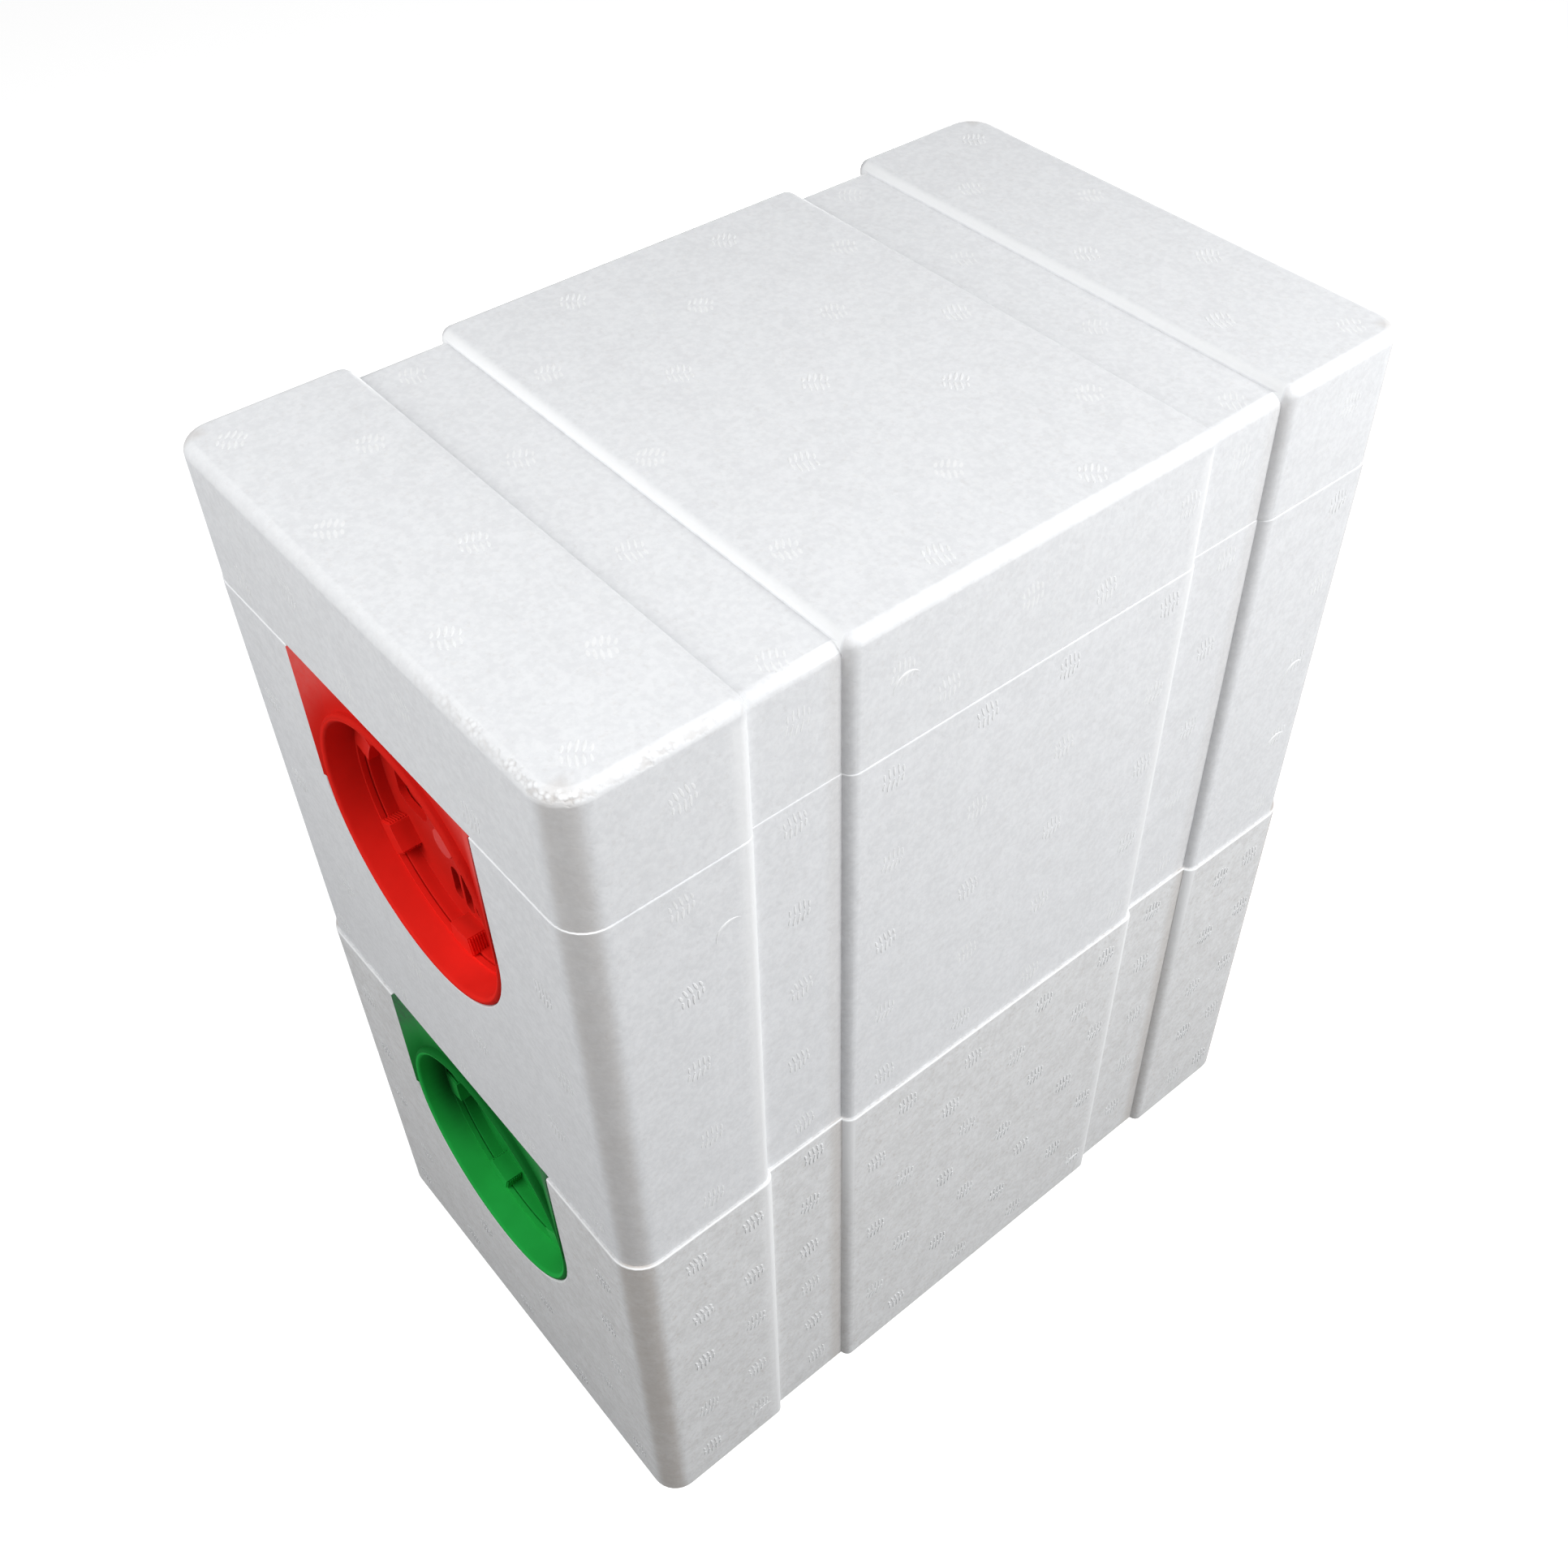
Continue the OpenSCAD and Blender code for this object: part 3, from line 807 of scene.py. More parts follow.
@dataclass(frozen=True)
class MouldedPlastic:
    """Injection moulded plastic with faint flow clouds and a fine skin, with dust and painted shade where it
    is an entrance.
    """

    name: str
    colour: Colour
    deep: Colour
    roughness: float = 0.40
    flow: Cloud = Cloud(70.0)
    flow_span: Span = (0.3, 0.75)
    gloss_span: Span = (0.2, 0.8)
    gloss_change: Span = (-0.05, 0.07)
    skin: Cloud = Cloud(1500.0, 2.0)
    skin_relief: Span = (0.03 * MM, 0.2)
    sheen: float = 0.20
    soiling: Soiling | None = None

    def material(self) -> bpy.types.Material:
        """Builds the plastic.

        Returns:
            The new material.
        """
        graph = Graph(bpy.data.materials.new(self.name))
        place = graph.place()
        flow = graph.noise(place, self.flow)
        colour = graph.blend(graph.fit(flow, self.flow_span), self.deep, self.colour)
        gloss = graph.fit(flow, self.gloss_span, tuple(self.roughness + v for v in self.gloss_change))
        soiling = self.soiling
        if soiling is not None:
            out = graph.vector("DISTANCE", graph.place((1.0, 0.0, 1.0)), soiling.middle)
            colour = soiling.tint(graph, colour, self.deep, out)
            dull = soiling.from_lip(graph, out, soiling.dull_span, (0.0, soiling.dull_roughness))
            gloss = graph.sum(gloss, "ADD", dull)
        return graph.dress(Base_Color=colour, Roughness=gloss, Specular_IOR_Level=self.sheen,
                           Normal=graph.bump(graph.noise(place, self.skin), self.skin_relief))


@dataclass(frozen=True)
class PineFinish:
    """Planed pine with growth rings, fibres and a few darker streaks."""

    name: str
    grain: Grain
    light: Colour = (0.66, 0.44, 0.22)
    dark: Colour = (0.43, 0.24, 0.095)
    rings: Cloud = Cloud(2.2, 4.0, 0.6)
    ring_count: float = 38.0
    ring_span: Span = (-0.6, 1.0)
    ring_share: float = 0.65
    fibre: Cloud = Cloud(24.0, 3.0, 0.7)
    streak_span: Span = (0.55, 0.8)
    streak_share: float = 0.5
    fibre_relief: Span = (0.15 * MM, 0.5)
    fibre_span: Span = (0.3, 0.7)
    roughness: Span = (0.55, 0.75)

    def material(self) -> bpy.types.Material:
        """Builds the wood.

        Returns:
            The new material.
        """
        graph = Graph(bpy.data.materials.new(self.name))
        place = graph.place(self.grain.value)
        fibre = graph.noise(place, self.fibre)
        bands = graph.sum(graph.product(graph.noise(place, self.rings), self.ring_count), "SINE", 0.0)
        colour = graph.blend(graph.fit(bands, self.ring_span, (0.0, self.ring_share)), self.light, self.dark)
        colour = graph.blend(graph.fit(fibre, self.streak_span, (0.0, self.streak_share)), colour, self.dark)
        return graph.dress(Base_Color=colour, Roughness=graph.fit(fibre, self.fibre_span, self.roughness),
                           Normal=graph.bump(fibre, self.fibre_relief))


@dataclass(frozen=True)
class WaxFinish:
    """Beeswax foundation pressed with a field of six-sided cells."""

    name: str
    light: Colour = (0.80, 0.53, 0.15)
    dark: Colour = (0.56, 0.31, 0.055)
    cell: float = 5.4 * MM
    wall_span: Span = (-1.5, 0.2)
    wall_share: float = 0.45
    wall_relief: Span = (-0.5 * MM, 0.8)
    cloud: Cloud = Cloud(60.0)
    cloud_span: Span = (0.3, 0.7)
    roughness: Span = (0.42, 0.58)

    def material(self) -> bpy.types.Material:
        """Builds the wax.

        Returns:
            The new material.
        """
        graph = Graph(bpy.data.materials.new(self.name))
        place = graph.place()
        wave = 4 * math.pi / (math.sqrt(3) * self.cell)
        ripples = []
        for turn in (0, 60, 120):
            along = (wave * math.cos(math.radians(turn)), 0.0, wave * math.sin(math.radians(turn)))
            ripples.append(graph.sum(graph.vector("DOT_PRODUCT", place, along), "COSINE", 0.0))
        field = graph.sum(graph.sum(ripples[0], "ADD", ripples[1]), "ADD", ripples[2])
        wall = graph.fit(field, self.wall_span)
        cloud = graph.noise(place, self.cloud)
        colour = graph.blend(graph.fit(cloud, self.cloud_span), self.dark, self.light)
        colour = graph.blend(graph.product(wall, self.wall_share), colour, self.dark)
        return graph.dress(Base_Color=colour, Roughness=graph.fit(cloud, self.cloud_span, self.roughness),
                           Normal=graph.bump(wall, self.wall_relief))


@dataclass(frozen=True)
class ClearFinish:
    """Clear plastic sheet with faint scuffs."""

    name: str
    tint: Colour = (0.86, 0.90, 0.91)
    scuff: Colour = (0.95, 0.96, 0.96)
    alpha: float = 0.22
    refraction: float = 1.49
    scuffs: Cloud = Cloud(240.0, 5.0, 0.7)
    scuff_stretch: Point = (1.0, 0.2, 1.0)
    scuff_span: Span = (0.55, 0.8)
    gloss_span: Span = (0.5, 0.8)
    roughness: Span = (0.08, 0.30)

    def material(self) -> bpy.types.Material:
        """Builds the sheet.

        Returns:
            The new material.
        """
        graph = Graph(bpy.data.materials.new(self.name))
        scuffs = graph.noise(graph.place(self.scuff_stretch), self.scuffs)
        colour = graph.blend(graph.fit(scuffs, self.scuff_span), self.tint, self.scuff)
        return graph.dress(Base_Color=colour, Roughness=graph.fit(scuffs, self.gloss_span, self.roughness),
                           IOR=self.refraction, Alpha=self.alpha)


class Finishes:
    """Every material of the box, each built once."""

    def __init__(self) -> None:
        """Builds the materials."""
        lid = FoamFinish("lid_foam", pale=(0.812, 0.825, 0.845), shade=(0.770, 0.781, 0.800),
                         crumble=Crumble())
        # The lower body has heavier dust and pits, and more painted shade on its corners and in hollows.
        lower = FoamFinish("lower_foam", pale=(0.812, 0.820, 0.830), shade=(0.715, 0.718, 0.722),
                           dust_share=0.25, pit_share=0.30, corner_dust_and_shade_share=0.66, hollow_shade_share=0.40, chip=Chip())
        self.foam = {"lid": lid.material(), "upper_body": FoamFinish("upper_foam").material(),
                     "lower_body": lower.material()}
        # The vent prints and dents get a paler foam, a painted highlight on their ribs.
        mark = FoamFinish("vent_print_highlight_foam", pale=(0.88, 0.89, 0.90), shade=(0.86, 0.87, 0.88))
        self.print = mark.material()
        # Both inserts get painted shade in the tunnel, at its back and beside the lip; on the green one the
        # dark plate colour paints shade over the plate too.
        red = MouldedPlastic("red_insert", (0.95, 0.026, 0.017), (0.89, 0.022, 0.014), sheen=0.06,
                             soiling=Soiling((0.0, 0.0, 0.252)))
        green = MouldedPlastic("green_insert", (0.025, 0.52, 0.085), (0.021, 0.47, 0.073), sheen=0.06,
                               soiling=Soiling((0.0, 0.0, 0.105), dust=(0.075, 0.095, 0.09), dust_share=0.88,
                                               shadow_share=0.88, gloom_share=0.97))
        self.insert = {Level.UPPER: red.material(), Level.LOWER: green.material()}
        self.tub = MouldedPlastic("feeder_plastic", (0.80, 0.80, 0.76), (0.74, 0.74, 0.70), 0.42,
                                  Cloud(40.0)).material()
        self.grille = MouldedPlastic("grille_plastic", (0.055, 0.057, 0.06), (0.04, 0.042, 0.045),
                                     0.45).material()
        self.sheet = ClearFinish("clear_sheet").material()
        self.wax = WaxFinish("beeswax").material()
        self.pine = {grain: PineFinish(f"pine_{grain.name.lower()}", grain).material() for grain in Grain}


# Foam shells and the prints of the mould's steam vents

@dataclass
class VentPrint:
    """Print of a slotted steam vent in the foam: a round patch of raised ribs, each broken in the middle."""

    radius: float = 4.1 * MM
    ribs: int = 5
    edge_ribs: float = 0.2
    gap: float = 0.9 * MM
    width: float = 0.95 * MM
    height: float = 0.15 * MM
    sink: float = 0.08 * MM
    crest_share: float = 0.55
    tip_share: float = 0.45
    lean: float = math.radians(9)

    def dash(self, length: float, place: Span, lean: float) -> bpy.types.Object:
        """Models one half of a rib.

        Args:
            length: Its length.
            place: Its middle.
            lean: Its turn from the X axis.

        Returns:
            The half rib, with the foam's surface at z = 0.
        """
        thick = self.height + self.sink
        bpy.ops.object.select_all(action="DESELECT")
        bpy.ops.mesh.primitive_cube_add(size=1, location=(0, 0, self.height - thick / 2))
        obj = bpy.context.object
        obj.scale = (length, self.width, thick)
        settle(obj)
        for edge in obj.data.edges:
            a, b = (obj.data.vertices[i].co for i in edge.vertices)
            edge.select = abs(a.x - b.x) > length / 2
        with edit_mode(obj, "EDGE"):
            bpy.ops.mesh.subdivide(number_cuts=2)
        resize_picked(obj, lambda p: p.z > 0, (1, self.crest_share, 1), (0, 0, 0))
        resize_picked(obj, lambda p: abs(p.x) > length / 3, (1, self.tip_share, 1), (0, 0, 0))
        obj.location = (*place, 0)
        obj.rotation_euler = (0, 0, lean)
        return settle(obj)

    def build(self) -> bpy.types.Object:
        """Models the whole print.

        Returns:
            The print, lying on z = 0 about the origin with its ribs along Y.
        """
        pitch = 2 * self.radius / (self.ribs + self.edge_ribs)
        halves = []
        for rib in range(self.ribs):
            across = (rib - (self.ribs - 1) / 2) * pitch
            length = math.sqrt(self.radius ** 2 - across ** 2) - self.gap / 2
            for side in (-1, 1):
                halves.append(self.dash(length, (side * (length + self.gap) / 2, across), side * self.lean))
        obj = join("vent_print", halves)
        obj.rotation_euler = (0, 0, math.pi / 2)
        return settle(obj)


@dataclass
class Dent:
    """Mark of a knock: a crescent of foam pushed up beside the blow."""

    radius: float = 4.6 * MM
    width: float = 1.5 * MM
    height: float = 0.25 * MM
    sink: float = 0.15 * MM
    crest_share: float = 0.35
    tip_share: float = 0.06
    sweep: float = math.radians(150)
    steps: int = 12
    step_reach: float = 0.01

    def build(self) -> bpy.types.Object:
        """Models the whole crescent.

        Returns:
            The crescent about the origin, lying on z = 0.
        """
        bpy.ops.object.select_all(action="DESELECT")
        bpy.ops.mesh.primitive_plane_add(size=1, location=(0, 0, 0))
        obj = bpy.context.object
        obj.name = "dent"
        thick = self.height + self.sink
        obj.scale = (self.width, thick, 1)
        obj.rotation_euler = (math.pi / 2, 0, 0)
        obj.location = (self.radius, 0, self.height - thick / 2)
        settle(obj)
        resize_picked(obj, lambda p: p.z > 0, (self.crest_share, 1, 1), (self.radius, 0, 0))
        with edit_mode(obj):
            bpy.ops.mesh.select_all(action="SELECT")
            bpy.ops.mesh.spin(steps=self.steps, angle=self.sweep, center=(0, 0, 0), axis=(0, 0, 1))
            bpy.ops.mesh.select_all(action="SELECT")
            bpy.ops.mesh.remove_doubles(threshold=MERGE_DISTANCE)
        self.taper(obj)
        with edit_mode(obj):
            bpy.ops.mesh.select_all(action="SELECT")
            bpy.ops.mesh.normals_make_consistent(inside=False)
        return shade(obj)

    def taper(self, obj: bpy.types.Object) -> None:
        """Draws the ends of the spun crescent to points.

        Args:
            obj: The spun crescent.
        """
        stations = sorted({round(math.atan2(v.co.y, v.co.x), 4) for v in obj.data.vertices}, key=abs)
        for station in stations:
            share = max(math.sin(math.pi * min(abs(station) / self.sweep, 1.0)), self.tip_share)
            middle = (self.radius * math.cos(station), self.radius * math.sin(station), 0)
            resize_picked(obj, lambda p: abs(math.atan2(p.y, p.x) - station) < self.step_reach,
                          (share, share, share), middle)


@dataclass
class PrintField:
    """A field of vent prints on one or two faces of a foam shell, in millimetres.

    The places run along the face from its middle, or along the box from its entrance face, and down from
    the shell's rim, or from the rear edge on the lid's top.
    """

    faces: tuple[Face, ...]
    along: tuple[float, ...]
    down: tuple[float, ...]
    stagger: float = 0.0


@dataclass
class FoamShell:
    """One of the three foam shells, with the prints of the mould's vents on its faces.

    Dents are given in millimetres and degrees: along the right side, down it, and turn.
    """

    node: str
    body: str
    fields: tuple[PrintField, ...]
    inset: float
    dents: tuple[Point, ...] = ()
    draft: float = 1.0 * MM
    channel_depth: float = 2.8 * MM
    channel_centre: float = 76.5 * MM
    channel_width: float = 27.0 * MM
    channel_spare: float = 1.5 * MM
    # Tones that the foam paints as highlight above 0 and as shade below 0.
    channel_tone: Span = (-1.0, 0.4)
    block_round: float = 3.6 * MM
    top_inset: float = 0.30 * MM
    top_tone: Span = (0.5, 2.0)
    top_lit: float = 0.25
    top_gain: float = 2.0
    edge_round: float = 0.35 * MM
    round_segments: int = 3
    rim_round: float = 0.60 * MM
    rim_breadth: float = 5.0 * MM
    rim_reach: float = 0.7 * MM
    rim_tone: float = 2.0
    side_rim_tone: float = 2.0
    slot_tone: float = 1.0
    slot_round: float = 0.35 * MM
    slot_radius: float = 44.0 * MM
    slot_drop: float = 47.0 * MM
    slot_depth: float = 3.0 * MM
    slot_reach: float = 1.5 * MM
    tone_breadth: float = 1.2 * MM
    print_strength: Span = (0.3, 1.0)
    print_turn: float = 0.2
    jitter: float = 1.4 * MM
    top_turn: float = math.radians(59)

    def build(self, finishes: Finishes) -> bpy.types.Object:
        """Models the shell a little inside the CAD node, with rounded edges.

        Args:
            finishes: The materials.

        Returns:
            The shell.
        """
        low, high = cad_box(self.node)
        shell = merged_copy(self.node, f"{self.node}_foam")
        top = 1 - self.top_inset / (high.z - low.z) if self.node == "lid" else 1
        with edit_mode(shell):
            bpy.ops.mesh.select_all(action="SELECT")
            bpy.ops.transform.resize(value=(1 - self.inset / high.x, 1 - self.inset / high.y, top),
                                     center_override=(0, 0, low.z))
        self.weigh_edges(shell)
        apply_modifier(shell, "BEVEL", width=self.widest_round(), segments=self.round_segments,
                       limit_method="WEIGHT", use_clamp_overlap=False)
        shade(shell)
        tone_edges(shell, self.tone_breadth, self.own_tone)
        return finish_piece(shell, finishes.foam[self.node], self.body, "foam", self.node)

    def height(self) -> float:
        """Height of the shell's outer walls."""
        above = "lid" if self.node == "upper_body" else "upper_body"
        return cad_box(above)[0].z - cad_box(self.node)[0].z

    def widest_round(self) -> float:
        """Width of the widest rounding, which the weights of the edges are shares of."""
        return max(self.rim_round, self.edge_round, self.slot_round)

    def in_channel(self, y: float, spare: float = 0.0) -> bool:
        """Tells whether a place along the box lies in a strap channel or within a spare reach of it."""
        return abs(abs(y) - self.channel_centre) < self.channel_width / 2 + spare

    def beside_channel(self, place: Vector) -> bool:
        """Tells whether a place lies outside on the walls or the rounded edges of a strap channel.

        Args:
            place: A place on the foam.

        Returns:
            True where it does.
        """
        _, high = cad_box(self.node)
        depth = self.channel_depth + self.draft + self.channel_spare
        outside = abs(place.x) > high.x - depth or (self.node == "lid" and place.z > high.z - depth)
        return outside and self.in_channel(place.y, self.block_round)

    def on_rim(self, place: Vector) -> bool:
        """Tells whether a place lies on the outer edge of a body's rim.

        Args:
            place: A place on the foam.

        Returns:
            True where it does.
        """
        if self.node == "lid":
            return False
        low, high = cad_box(self.node)
        outer = abs(place.x) > high.x - self.rim_breadth or abs(place.y) > high.y - self.rim_breadth
        return outer and abs(place.z - low.z - self.height()) < self.rim_reach

    def on_slot(self, place: Vector) -> bool:
        """Tells whether a place lies on the round edge of the entrance slot in the front wall.

        Args:
            place: A place on the foam.

        Returns:
            True where it does.
        """
        if self.node == "lid":
            return False
        low, _ = cad_box(self.node)
        middle = Vector((0.0, place.y, low.z + self.height() - self.slot_drop))
        near = abs((place - middle).length - self.slot_radius) < self.slot_reach
        return near and place.y < low.y + self.slot_depth

    def own_tone(self, place: Vector, normal: Vector) -> float | None:
        """Finds the tone of the rim, the strap channels' walls and the edge of the entrance slot, which the
        foam paints as highlight and shade.

        Args:
            place: A place on a rounded edge.
            normal: The direction that the foam looks in there.

        Returns:
            The tone, or nothing where the edge's shape alone sets it.
        """
        _, high = cad_box(self.node)
        if self.on_rim(place):
            return self.side_rim_tone if abs(place.y) < high.y - 2 * self.rim_breadth else self.rim_tone
        if self.beside_channel(place):
            if self.node == "lid" and abs(place.x) < high.x - self.block_round:
                least, most = self.top_tone
                return min(least - self.top_gain * normal.y, most) if normal.y < -self.top_lit else 0.0
            least, most = self.channel_tone
            return max(min(normal.y, most), least)
        return self.slot_tone if self.on_slot(place) else None

    def weigh_edges(self, shell: bpy.types.Object) -> None:
        """Weighs the shell's sharp edges for rounding, with none in the strap channels.

        Args:
            shell: The shell before its edges are rounded.
        """
        mesh = shell.data
        faces = faces_by_edge(mesh)
        weights = [0.0] * len(mesh.edges)
        for edge in mesh.edges:
            if len(faces.get(edge.index, ())) != 2:
                continue
            bend = fold(edge, faces[edge.index], mesh)
            ends = [mesh.vertices[i].co for i in edge.vertices]
            rim = all(self.on_rim(p) for p in ends)
            if bend < SMOOTH_ANGLE or (all(self.beside_channel(p) for p in ends) and not rim):
                continue
            width = self.rim_round if rim else self.edge_round
            if all(self.on_slot(p) for p in ends):
                width = self.slot_round
            weights[edge.index] = width / self.widest_round()
        mesh.attributes.new("bevel_weight_edge", "FLOAT", "EDGE").data.foreach_set("value", weights)

    def seat(self, face: Face, along: float, down: float) -> Vector:
        """Finds the place of a print on a face.

        Args:
            face: The face.
            along: Place along the face.
            down: Place down the face.

        Returns:
            The print's centre on the foam's surface.
        """
        low, high = cad_box(self.node)
        y = high.y - down if face is Face.TOP else low.y + along
        sunk = self.channel_depth if self.in_channel(y) else 0
        if face is Face.TOP:
            return Vector((along, y, high.z - self.top_inset - sunk))
        lean = 0 if self.node == "lid" else self.draft * down / self.height()
        z = (high.z if self.node == "lid" else low.z + self.height()) - down
        if face in (Face.FRONT, Face.REAR):
            return Vector((along, face.value[1] * (high.y - self.inset - lean), z))
        return Vector((face.value[0] * (high.x - self.inset - lean - sunk), y, z))

    def stamp(self, pattern: bpy.types.Object, face: Face, place: Vector, turn: float,
              strength: float = 1.0) -> bpy.types.Object:
        """Copies a mark on to a face.

        Args:
            pattern: The mark, lying on z = 0.
            face: The face.
            place: Its place there.
            turn: Its turn about the face's direction.
            strength: Share of the mark's height that is left.

        Returns:
            The copy.
        """
        copy = new_object("stamp", pattern.data.copy())
        upright = Vector(face.value).to_track_quat("Z", "Y").to_matrix().to_4x4()
        flatten = Matrix.Diagonal((1.0, 1.0, strength, 1.0))
        copy.matrix_world = Matrix.Translation(place) @ upright @ Matrix.Rotation(turn, 4, "Z") @ flatten
        return copy

    def print_marks(self, finishes: Finishes, patterns: tuple[bpy.types.Object, bpy.types.Object],
                    chance: random.Random) -> bpy.types.Object:
        """Copies the vent print and the dents over the shell's faces.

        Args:
            finishes: The materials.
            patterns: The modelled print and dent.
            chance: Source of the small scatter.

        Returns:
            All the shell's marks as one piece.
        """
        vent, dent = patterns
        copies = []
        places = [(face, along + (row % 2) * field.stagger, down)
                  for field in self.fields for face in field.faces
                  for row, down in enumerate(field.down) for along in field.along]
        for face, along, down in places:
            place = self.seat(face, along * MM + chance.uniform(-1, 1) * self.jitter,
                              down * MM + chance.uniform(-1, 1) * self.jitter)
            turn = self.top_turn if face is Face.TOP else 0.0
            turn += chance.uniform(-self.print_turn, self.print_turn)
            copies.append(self.stamp(vent, face, place, turn, chance.uniform(*self.print_strength)))
        for along, down, turn in self.dents:
            place = self.seat(Face.RIGHT, along * MM, down * MM)
            copies.append(self.stamp(dent, Face.RIGHT, place, math.radians(turn)))
        marks = join(f"{self.node}_vent_prints", copies)
        return finish_piece(marks, finishes.print, self.body, "foam")


def spread(start: float, step: float, count: int) -> tuple[float, ...]:
    """Evenly spaced places."""
    return tuple(start + i * step for i in range(count))


SIDES = (Face.RIGHT, Face.LEFT)
ENDS = (Face.FRONT, Face.REAR)
LID = FoamShell("lid", "lid", (
    PrintField(SIDES, (32, 66, 95, 139, 194, 219, 262), (17.5,)),
    PrintField(SIDES, (112, 167), (32,)),
    PrintField(ENDS, spread(-62, 54, 3), (33,)),
    PrintField(ENDS, spread(-30, 53, 2), (18,)),
    PrintField((Face.TOP,), spread(-73, 50, 4), spread(13, 51.5, 6)),
    PrintField((Face.TOP,), spread(-48, 50, 3), spread(39, 52, 5)),
), inset=0.55 * MM, dents=((97, 24, 185),), print_strength=(0.15, 0.65))
UPPER = FoamShell("upper_body", "upper_box", (
    PrintField(SIDES, (30, 65, 93, 124, 156, 194, 219, 266), spread(8, 32, 5)),
    PrintField(ENDS, spread(-56, 38, 4), (106,)),
    PrintField(ENDS, spread(-70.5, 35.25, 5), (138,)),
    PrintField(ENDS, (-68, 67), spread(38, 32, 2)),
    PrintField((Face.REAR,), spread(-34, 34, 3), spread(10, 32, 3)),
), inset=0.30 * MM, dents=((42, 27.5, 195), (266, 76, 185), (266, 108, 185)),
    side_rim_tone=0.3, rim_round=0.4 * MM)
LOWER = FoamShell("lower_body", "lower_box", (
    PrintField(SIDES, (21, 41.5), spread(14, 30.5, 5)),
    PrintField(SIDES, (67,), spread(8, 26, 6)),
    PrintField(SIDES, spread(103, 30, 4), spread(13, 20.9, 7), stagger=-11),
    PrintField(SIDES, (219,), spread(11, 30, 5)),
    PrintField(SIDES, (251, 268), spread(17, 30.4, 5)),
    PrintField(ENDS, spread(-58, 38, 4), (112,)),
    PrintField(ENDS, spread(-70.5, 35.25, 5), (139,)),
    PrintField(ENDS, (-68, 67), spread(26, 30, 3)),
    PrintField((Face.REAR,), spread(-34, 34, 3), spread(12, 30, 3)),
), inset=0.30 * MM, dents=((42, 142, 185), (195, 143, 185)), slot_tone=2.0, slot_round=0.8 * MM,
    print_strength=(1.1, 1.9))


# Entrances

@dataclass
class Entrance:
    """Coloured entrance of one body: housing, turn cup and rivet."""

    level: Level
    turn: float = 0.0
    housing_round: float = 0.30 * MM
    cup_round: float = 0.25 * MM
    rivet_round: float = 0.30 * MM
    round_segments: int = 3
    ridge_count: int = 6
    ridge_turn: float = math.radians(55)
    ridge_arc: float = math.radians(15.6)
    ridge_inner: float = 32.2 * MM
    ridge_outer: float = 38.8 * MM
    ridge_depth: float = 6.0 * MM
    tick_count: int = 7
    tick_length: float = 0.86
    tick_width: float = 0.40 * MM
    tick_height: float = 0.45 * MM
    tick_ease: float = 0.3
    tick_start: float = 0.7
    tick_spare: float = 0.4

    def build(self, finishes: Finishes) -> None:
        """Models the three pieces with rounded edges and dresses them.

        Args:
            finishes: The materials.
        """
        plastic = finishes.insert[self.level]
        box, cup = self.level.node("box"), self.level.node("cup")
        slot = "red_plastic" if self.level is Level.UPPER else "green_plastic"
        for piece, rounding, body in (("entrance_housing", self.housing_round, box),
                                      ("turn_cup", self.cup_round, cup),
                                      ("pivot_rivet", self.rivet_round, box)):
            dress_node(self.level.node(piece), rounding, self.round_segments, plastic, body, slot)
        finish_piece(self.build_ticks(), plastic, cup, slot)

    def tick(self) -> bpy.types.Object:
        """Models one grip tick.

        Returns:
            A small bar along X about the origin, with eased edges.
        """
        bpy.ops.object.select_all(action="DESELECT")
        bpy.ops.mesh.primitive_cube_add(size=1)
        obj = bpy.context.object
        length = (self.ridge_outer - self.ridge_inner) * self.tick_length
        obj.scale = (length, self.tick_width, 2 * self.tick_height)
        settle(obj)
        with edit_mode(obj):
            bpy.ops.mesh.select_all(action="SELECT")
            bpy.ops.mesh.bevel(offset=self.tick_width * self.tick_ease, segments=1, affect="EDGES")
        return obj

    def build_ticks(self) -> bpy.types.Object:
        """Copies the tick down both flanks of every finger ridge.

        Returns:
            All the ticks as one piece.
        """
        low, high = cad_box(self.level.node("turn_cup"))
        centre = (low + high) / 2
        pattern = self.tick()
        out = Matrix.Translation(((self.ridge_inner + self.ridge_outer) / 2, 0, 0))
        copies = []
        for ridge in range(self.ridge_count):
            middle = self.turn + self.ridge_turn + ridge * 2 * math.pi / self.ridge_count
            for flank in (-1, 1):
                spin = Matrix.Rotation(middle + flank * self.ridge_arc / 2, 4, "Y")
                for number in range(self.tick_count):
                    share = (number + self.tick_start) / (self.tick_count + self.tick_spare)
                    place = Matrix.Translation((centre.x, low.y + self.ridge_depth * share, centre.z))
                    copy = new_object("tick", pattern.data.copy())
                    copy.matrix_world = place @ spin @ out
                    copies.append(copy)
        bpy.data.objects.remove(pattern)
        return join(self.level.node("cup_grip_ticks"), copies)


# What hangs and lies inside

@dataclass
class CombFrame:
    """One comb frame: three wooden pieces round a wax foundation."""

    level: Level
    number: int
    bar_round: float = 0.6 * MM
    wax_round: float = 0.2 * MM
    round_segments: int = 2

    def build(self, finishes: Finishes) -> None:
        """Models the frame's pieces with eased edges and dresses them.

        Args:
            finishes: The materials.
        """
        for piece, rounding, material, slot in (
            ("top_bar", self.bar_round, finishes.pine[Grain.ALONG_BAR], "pine"),
            ("end_bars", self.bar_round, finishes.pine[Grain.UPRIGHT], "pine"),
            ("bottom_bar", self.bar_round, finishes.pine[Grain.ALONG_BAR], "pine"),
            ("foundation", self.wax_round, finishes.wax, "beeswax"),
        ):
            node = self.level.node(f"frame_{self.number}_{piece}")
            dress_node(node, rounding, self.round_segments, material, self.level.node("box"), slot)


